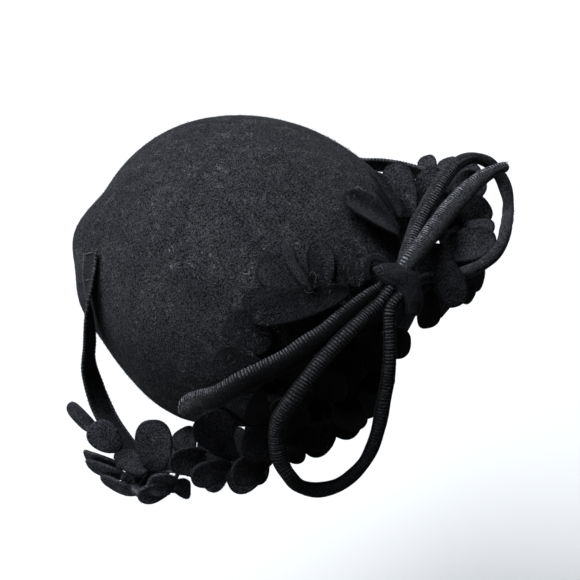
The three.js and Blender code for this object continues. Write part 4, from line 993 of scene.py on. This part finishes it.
def rolled_cord(name, cad, rows, seam, half, flank_painted_light, rib_painted_light, depth=0.75, slant=0.25):
    """Felt rolled round a cord and whip-stitched: along the seam runs a ladder of ribs.
    seam is the angle of the ladder's middle round the section along the line, half its half angle, both in degrees;
    flank_painted_light and rib_painted_light are painted light and shade along the line: how light the plain felt and
    the ribs are painted."""
    at, wide, deep, run, T, u, w = line_frames(rows, PITCH / 7)
    n = len(at)
    ang = np.radians(np.interp(np.linspace(0, 1, n), np.linspace(0, 1, len(seam)), seam))
    hw = np.radians(np.interp(np.linspace(0, 1, n), np.linspace(0, 1, len(half)), half))
    flank_painted_light = np.interp(np.linspace(0, 1, n), np.linspace(0, 1, len(flank_painted_light)), flank_painted_light)
    rib_painted_light = np.interp(np.linspace(0, 1, n), np.linspace(0, 1, len(rib_painted_light)), rib_painted_light)
    count = 40
    theta = 2 * np.pi * np.arange(count) / count
    jit = 0.8 * wobble(at, 0.3, len(name)) + 0.45 * wobble(at, 0.9, len(name) + 3)
    slants = slant + 0.12 * wobble(at, 0.5, len(name) + 5)
    depth = depth * (1 + 0.45 * wobble(at, 0.7, len(name) + 7))
    close = rounded_ends(run, 2.6, (True, True))
    rings, painted_light_shade = [], []
    for i in range(n):
        phi = (theta - ang[i] + np.pi) % (2 * np.pi) - np.pi
        zone = min(1.0, hw[i] / 0.3) / (1 + np.exp((np.abs(phi) - hw[i]) / 0.09))
        ph = 2 * np.pi * (run[i] + jit[i] * 0.6) / PITCH + slants[i] * 2 * np.pi * phi
        rib = 0.5 + 0.5 * np.cos(ph)
        groove = 1 - rib**0.6
        lips = np.exp(-(((np.abs(phi) - hw[i] - 0.14) / 0.16) ** 2))
        add = -depth[i] * groove * zone + 0.05 * zone - 0.25 * lips + 0.12 * math.sin(run[i] * 0.35 + 2.0) * (1 - zone)
        a, b = wide[i] + add - 0.1, deep[i] + add - 0.1
        rings.append(at[i] + close[i] * (np.outer(a * np.cos(theta), u[i]) + np.outer(b * np.sin(theta), w[i])))
        # painted light and shade: the flank value on the plain felt, ribs lightened as painted highlights, grooves and
        # the ladder's edges darkened as painted shade
        painted_light_shade.append(np.clip(flank_painted_light[i] * (1 - 0.8 * zone) + zone * (rib_painted_light[i] * rib**1.3) - 0.4 * flank_painted_light[i] * lips * min(1.0, hw[i] / 0.3), 0.03, None))
    verts, quads, tris = closed_rings(rings, (at[0], at[-1]))
    painted_light_shade = np.concatenate(painted_light_shade + [np.full(2, flank_painted_light[0])])
    o = make(name, verts, [quads, tris], CORD_FELT, painted_light_shade=painted_light_shade)
    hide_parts(cad)
    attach(o, "root")
    # the thread that lies in the grooves
    paths = []
    for s in np.arange(PITCH / 2, run[-1] - PITCH / 2, PITCH):
        i = int(np.clip(np.searchsorted(run + jit * 0.6, s), 2, n - 3))
        if hw[i] < 0.2:
            continue
        pts = []
        for q in np.linspace(-1.05, 1.05, 7):
            a = ang[i] + q * hw[i]
            j = int(np.clip(i - slants[i] * q * hw[i] * 7, 0, n - 1))
            lift = -0.42 * depth[j] + (0.1 if abs(q) < 1 else -0.3)
            pts.append(at[j] + u[j] * math.cos(a) * (wide[j] + lift) + w[j] * math.sin(a) * (deep[j] + lift))
        paths.append(pts)
    if paths:
        st = tubes(name + "_thread", paths, 0.15, THREAD, sides=5)
        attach(st, "root")
    # nap on the cord
    rng = np.random.default_rng(len(name) * 7)
    m = int(run[-1] * 12)
    ii = rng.integers(1, n - 1, m)
    aa = rng.uniform(-np.pi, np.pi, m)
    cc, ss = np.cos(aa)[:, None], np.sin(aa)[:, None]
    nn = unit(u[ii] * cc / wide[ii][:, None] + w[ii] * ss / deep[ii][:, None])
    return at[ii] + u[ii] * cc * (wide[ii] * 0.97)[:, None] + w[ii] * ss * (deep[ii] * 0.97)[:, None], nn


nap_at, nap_n = [], []
# the flank and rib values are painted light and shade: the big loop and the right tail's flank darkened as painted
# shade, the left tail lightened as painted light
for args in (
    ("loop_big_cord", "bow_loop_big", BOW_LOOP_BIG, (100, 100, 95, 90, 85, 85, 90, 95, 100), (62, 60, 56, 52, 46, 40, 40, 42, 46), (0.16, 0.14, 0.10, 0.09, 0.07, 0.07, 0.12, 0.16), (2.8, 2.2, 1.7, 1.5, 0.5, 0.35, 0.9, 1.5, 2.3), 0.9, 0.12),
    ("loop_side_cord", "bow_loop_side", BOW_LOOP_SIDE, (80, 80, 84, 100, 180, 200, 200, 200), (36, 34, 22, 0, 0, 0, 0, 0), (1.0, 1.15, 1.2, 1.1), (4.4, 4.4), 0.6, 0.2),
    ("tail_right_cord", "bow_tail_right", BOW_TAIL_RIGHT, (36, 32), (25, 24), (0.07, 0.06, 0.05, 0.06, 0.22, 1.6), (2.6, 3.0, 3.4, 4.0, 6.0), 0.9, 0.1),
    ("tail_left_cord", "bow_tail_left", BOW_TAIL_LEFT, (140, 140), (25, 25), (1.25, 1.7), (8.0, 6.5), 0.9, -0.1),
):
    a, b = rolled_cord(*args)
    if args[1] == "bow_tail_right":
        a, b = a[::3], b[::3]
    nap_at.append(a)
    nap_n.append(b)
nap = fibres("bow_nap", np.concatenate(nap_at), np.concatenate(nap_n), (0.3, 1.4), 0.06, NAP, 52)
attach(nap, "root")


# ---------------------------------------------------------------- knot: a smooth felt strip wrapped over the cords
at, wide, deep, run, T, u, w = line_frames(KNOT_LINE, 0.3)
close = np.minimum(rounded_ends(run, 9.0, (True, False)), rounded_ends(run, 2.2, (False, True)))
theta = 2 * np.pi * np.arange(72) / 72
rings = []
for i in range(len(at)):
    q = run[i] / run[-1]
    fold = 0.55 * np.exp(-(((theta - math.radians(62)) / 0.10) ** 2)) * math.sin(math.pi * q)
    edge = 0.35 * np.exp(-(((theta - math.radians(150)) / 0.12) ** 2)) * math.sin(math.pi * q)
    swell = 0.25 * np.sin(run[i] * 0.5 + 1.0 + 1.3 * np.cos(theta))
    a, b = wide[i] - fold - edge + swell - 0.15, deep[i] - fold - edge + swell - 0.15
    rings.append(at[i] + close[i] * (np.outer(a * np.cos(theta), u[i]) + np.outer(b * np.sin(theta), w[i])))
verts, quads, tris = closed_rings(rings, (at[0], at[-1]))
knot = make("knot_wrap", verts, [quads, tris], KNOT_FELT)
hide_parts("bow_knot")
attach(knot, "root")


# ---------------------------------------------------------------- curled end beside the knot, loose threads and hairs
def toward(x, y):
    """Direction of the line of sight through a place of the picture, 0.52 mm a step."""
    return unit(RIGHT * (x - 290) * 0.52 - UP * (y - 290) * 0.52 - BACK * 1000.0)


def beside(x, y, anchor):
    """The point on that line of sight that is as deep as anchor."""
    d = toward(x, y)
    return CAMERA_AT + d * (((anchor - CAMERA_AT) @ BACK) / (d @ BACK))


CURL = table(["x", "y", "deeper"], [(388, 264, 0.5), (382, 259, 0.2), (375, 257, 0.0), (369, 260, 0.0), (367, 267, 0.3), (367, 274, 0.8), (371, 279, 1.6)])
anchor = KNOT_LINE[0, :3]
curl_line = even(catmull([beside(r["x"], r["y"], anchor) - BACK * r["deeper"] for r in CURL], 80), 0.5)[0]
T = unit(np.gradient(curl_line, axis=0))
u = unit(np.cross(T, BACK))
w = np.cross(u, T)
m = len(curl_line)
verts, quads, tris = closed_sweep(curl_line, u, w, lambda i: rounded_strip(2.0, 0.8) * (0.75 + 0.25 * math.sin(math.pi * i / (m - 1))))
# the curl takes the knot's felt, darkened as painted shade
curl = make("knot_curl", verts, [quads, tris], KNOT_FELT)
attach(curl, "root")

points, polys = [], []
for o in list(scene.collection.all_objects):
    if o.type == "MESH" and (o.name in ("crown_shell", "knot_wrap", "band_strip", "tail_right_cord") or o.name.startswith("crown_") and o.name.endswith("_felt")):
        start = len(points)
        points.extend(v.co.copy() for v in o.data.vertices)
        polys.extend([start + q for q in p.vertices] for p in o.data.polygons)
skin = BVHTree.FromPolygons(points, polys)


def laid(paths, radius, name, material, lift=0.12):
    """Hairs and threads laid on the felt along the given places; a hair ends where the felt drops away."""
    out = []
    for path in paths:
        run_now = []
        for x, y in path:
            d = toward(x, y)
            hit, normal, _, far = skin.ray_cast(Vector(CAMERA_AT * MM), Vector(d))
            if hit is None:
                break
            q = np.array(hit) / MM + np.array(normal) * np.sign(-(np.array(normal) @ d)) * lift
            if run_now and np.linalg.norm(q - run_now[-1]) > 3.0:
                break
            run_now.append(q)
        if len(run_now) >= 3:
            out.append(run_now)
    o = tubes(name, out, radius, material, sides=5)
    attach(o, "root")
    return o


def strays(areas, seed):
    """Random curved hairs in round areas: x, y, reach, count, longest."""
    rng = np.random.default_rng(seed)
    out = []
    for a in areas:
        for _ in range(a["count"]):
            r, g = a["reach"] * math.sqrt(rng.random()), rng.uniform(0, 2 * math.pi)
            x, y = a["x"] + r * math.cos(g), a["y"] + r * math.sin(g)
            h, turn_by = rng.uniform(0, 2 * math.pi), rng.normal() * 0.35
            path = []
            for k in range(7):
                path.append((x, y))
                s = a["longest"] * rng.uniform(0.35, 1.0) / 6
                x, y, h = x + s * math.cos(h), y + s * math.sin(h), h + turn_by + rng.normal() * 0.25
            out.append(path)
    return out


THREADS = (
    ((309, 276), (311, 272), (314, 272), (316, 277), (315, 283), (312, 290), (310, 294)),
    ((316, 284), (318, 288), (319, 292), (318, 296)),
    ((304, 290), (308, 293), (313, 292), (317, 294)),
    ((398, 223), (405, 212), (412, 202), (418, 194)),
    ((386, 240), (391, 231), (397, 224), (402, 219)),
)
laid(THREADS, 0.085, "loose_threads", LINT, 0.25)
HAIR_AREAS = table(["x", "y", "reach", "count", "longest"], [
    (362, 262, 24, 60, 9), (325, 272, 20, 24, 7), (262, 326, 14, 12, 6), (240, 125, 18, 26, 8), (190, 170, 9, 12, 8), (187, 410, 8, 26, 6),
    (215, 165, 60, 60, 6), (255, 180, 80, 70, 5), (170, 250, 60, 50, 5), (345, 175, 25, 24, 6), (300, 150, 40, 30, 6), (240, 350, 25, 24, 6),
])
laid(strays(HAIR_AREAS, 71), 0.04, "stray_hairs", LINT, 0.1)

# ---------------------------------------------------------------- floor, light
floor_mat = bpy.data.materials.new("floor_pale")
floor_mat.use_nodes = True
fp = floor_mat.node_tree.nodes["Principled BSDF"]
fp.inputs["Base Color"].default_value = (0.86, 0.86, 0.86, 1)
fp.inputs["Roughness"].default_value = 0.9
fp.inputs["Specular IOR Level"].default_value = 0.1
floor_me = bpy.data.meshes.new("floor")
floor_me.from_pydata([(-12, -12, -0.42), (12, -12, -0.42), (12, 12, -0.42), (-12, 12, -0.42)], [], [(0, 1, 2, 3)])
floor_me.materials.append(floor_mat)
floor = bpy.data.objects.new("floor", floor_me)
scene.collection.objects.link(floor)
floor.visible_diffuse = False

world = bpy.data.worlds.new("studio")
world.use_nodes = True
world.node_tree.nodes["Background"].inputs["Color"].default_value = (0.92, 0.96, 1.0, 1)
world.node_tree.nodes["Background"].inputs["Strength"].default_value = 0.03
scene.world = world


def area(name, at, aim, size, power, colour=(1, 1, 1)):
    li = bpy.data.lights.new(name, "AREA")
    li.shape = "SQUARE"
    li.size = size
    li.energy = power
    li.color = colour
    o = bpy.data.objects.new(name, li)
    scene.collection.objects.link(o)
    o.location = at
    o.rotation_euler = (Vector(aim) - Vector(at)).to_track_quat("-Z", "Y").to_euler()
    return o


area("key", (0.3, 0.78, 2.56), (0, 0, -0.05), 1.9, 122, (0.965, 1.0, 1.045))
area("side", (-1.9, 0.1, 0.5), (0, 0, -0.08), 1.0, 7, (0.96, 1.0, 1.05))
area("fill", (-0.5, -2.0, 1.6), (0, 0, -0.08), 1.6, 0.6, (1.0, 0.99, 0.98))
scene.view_settings.view_transform = "Standard"
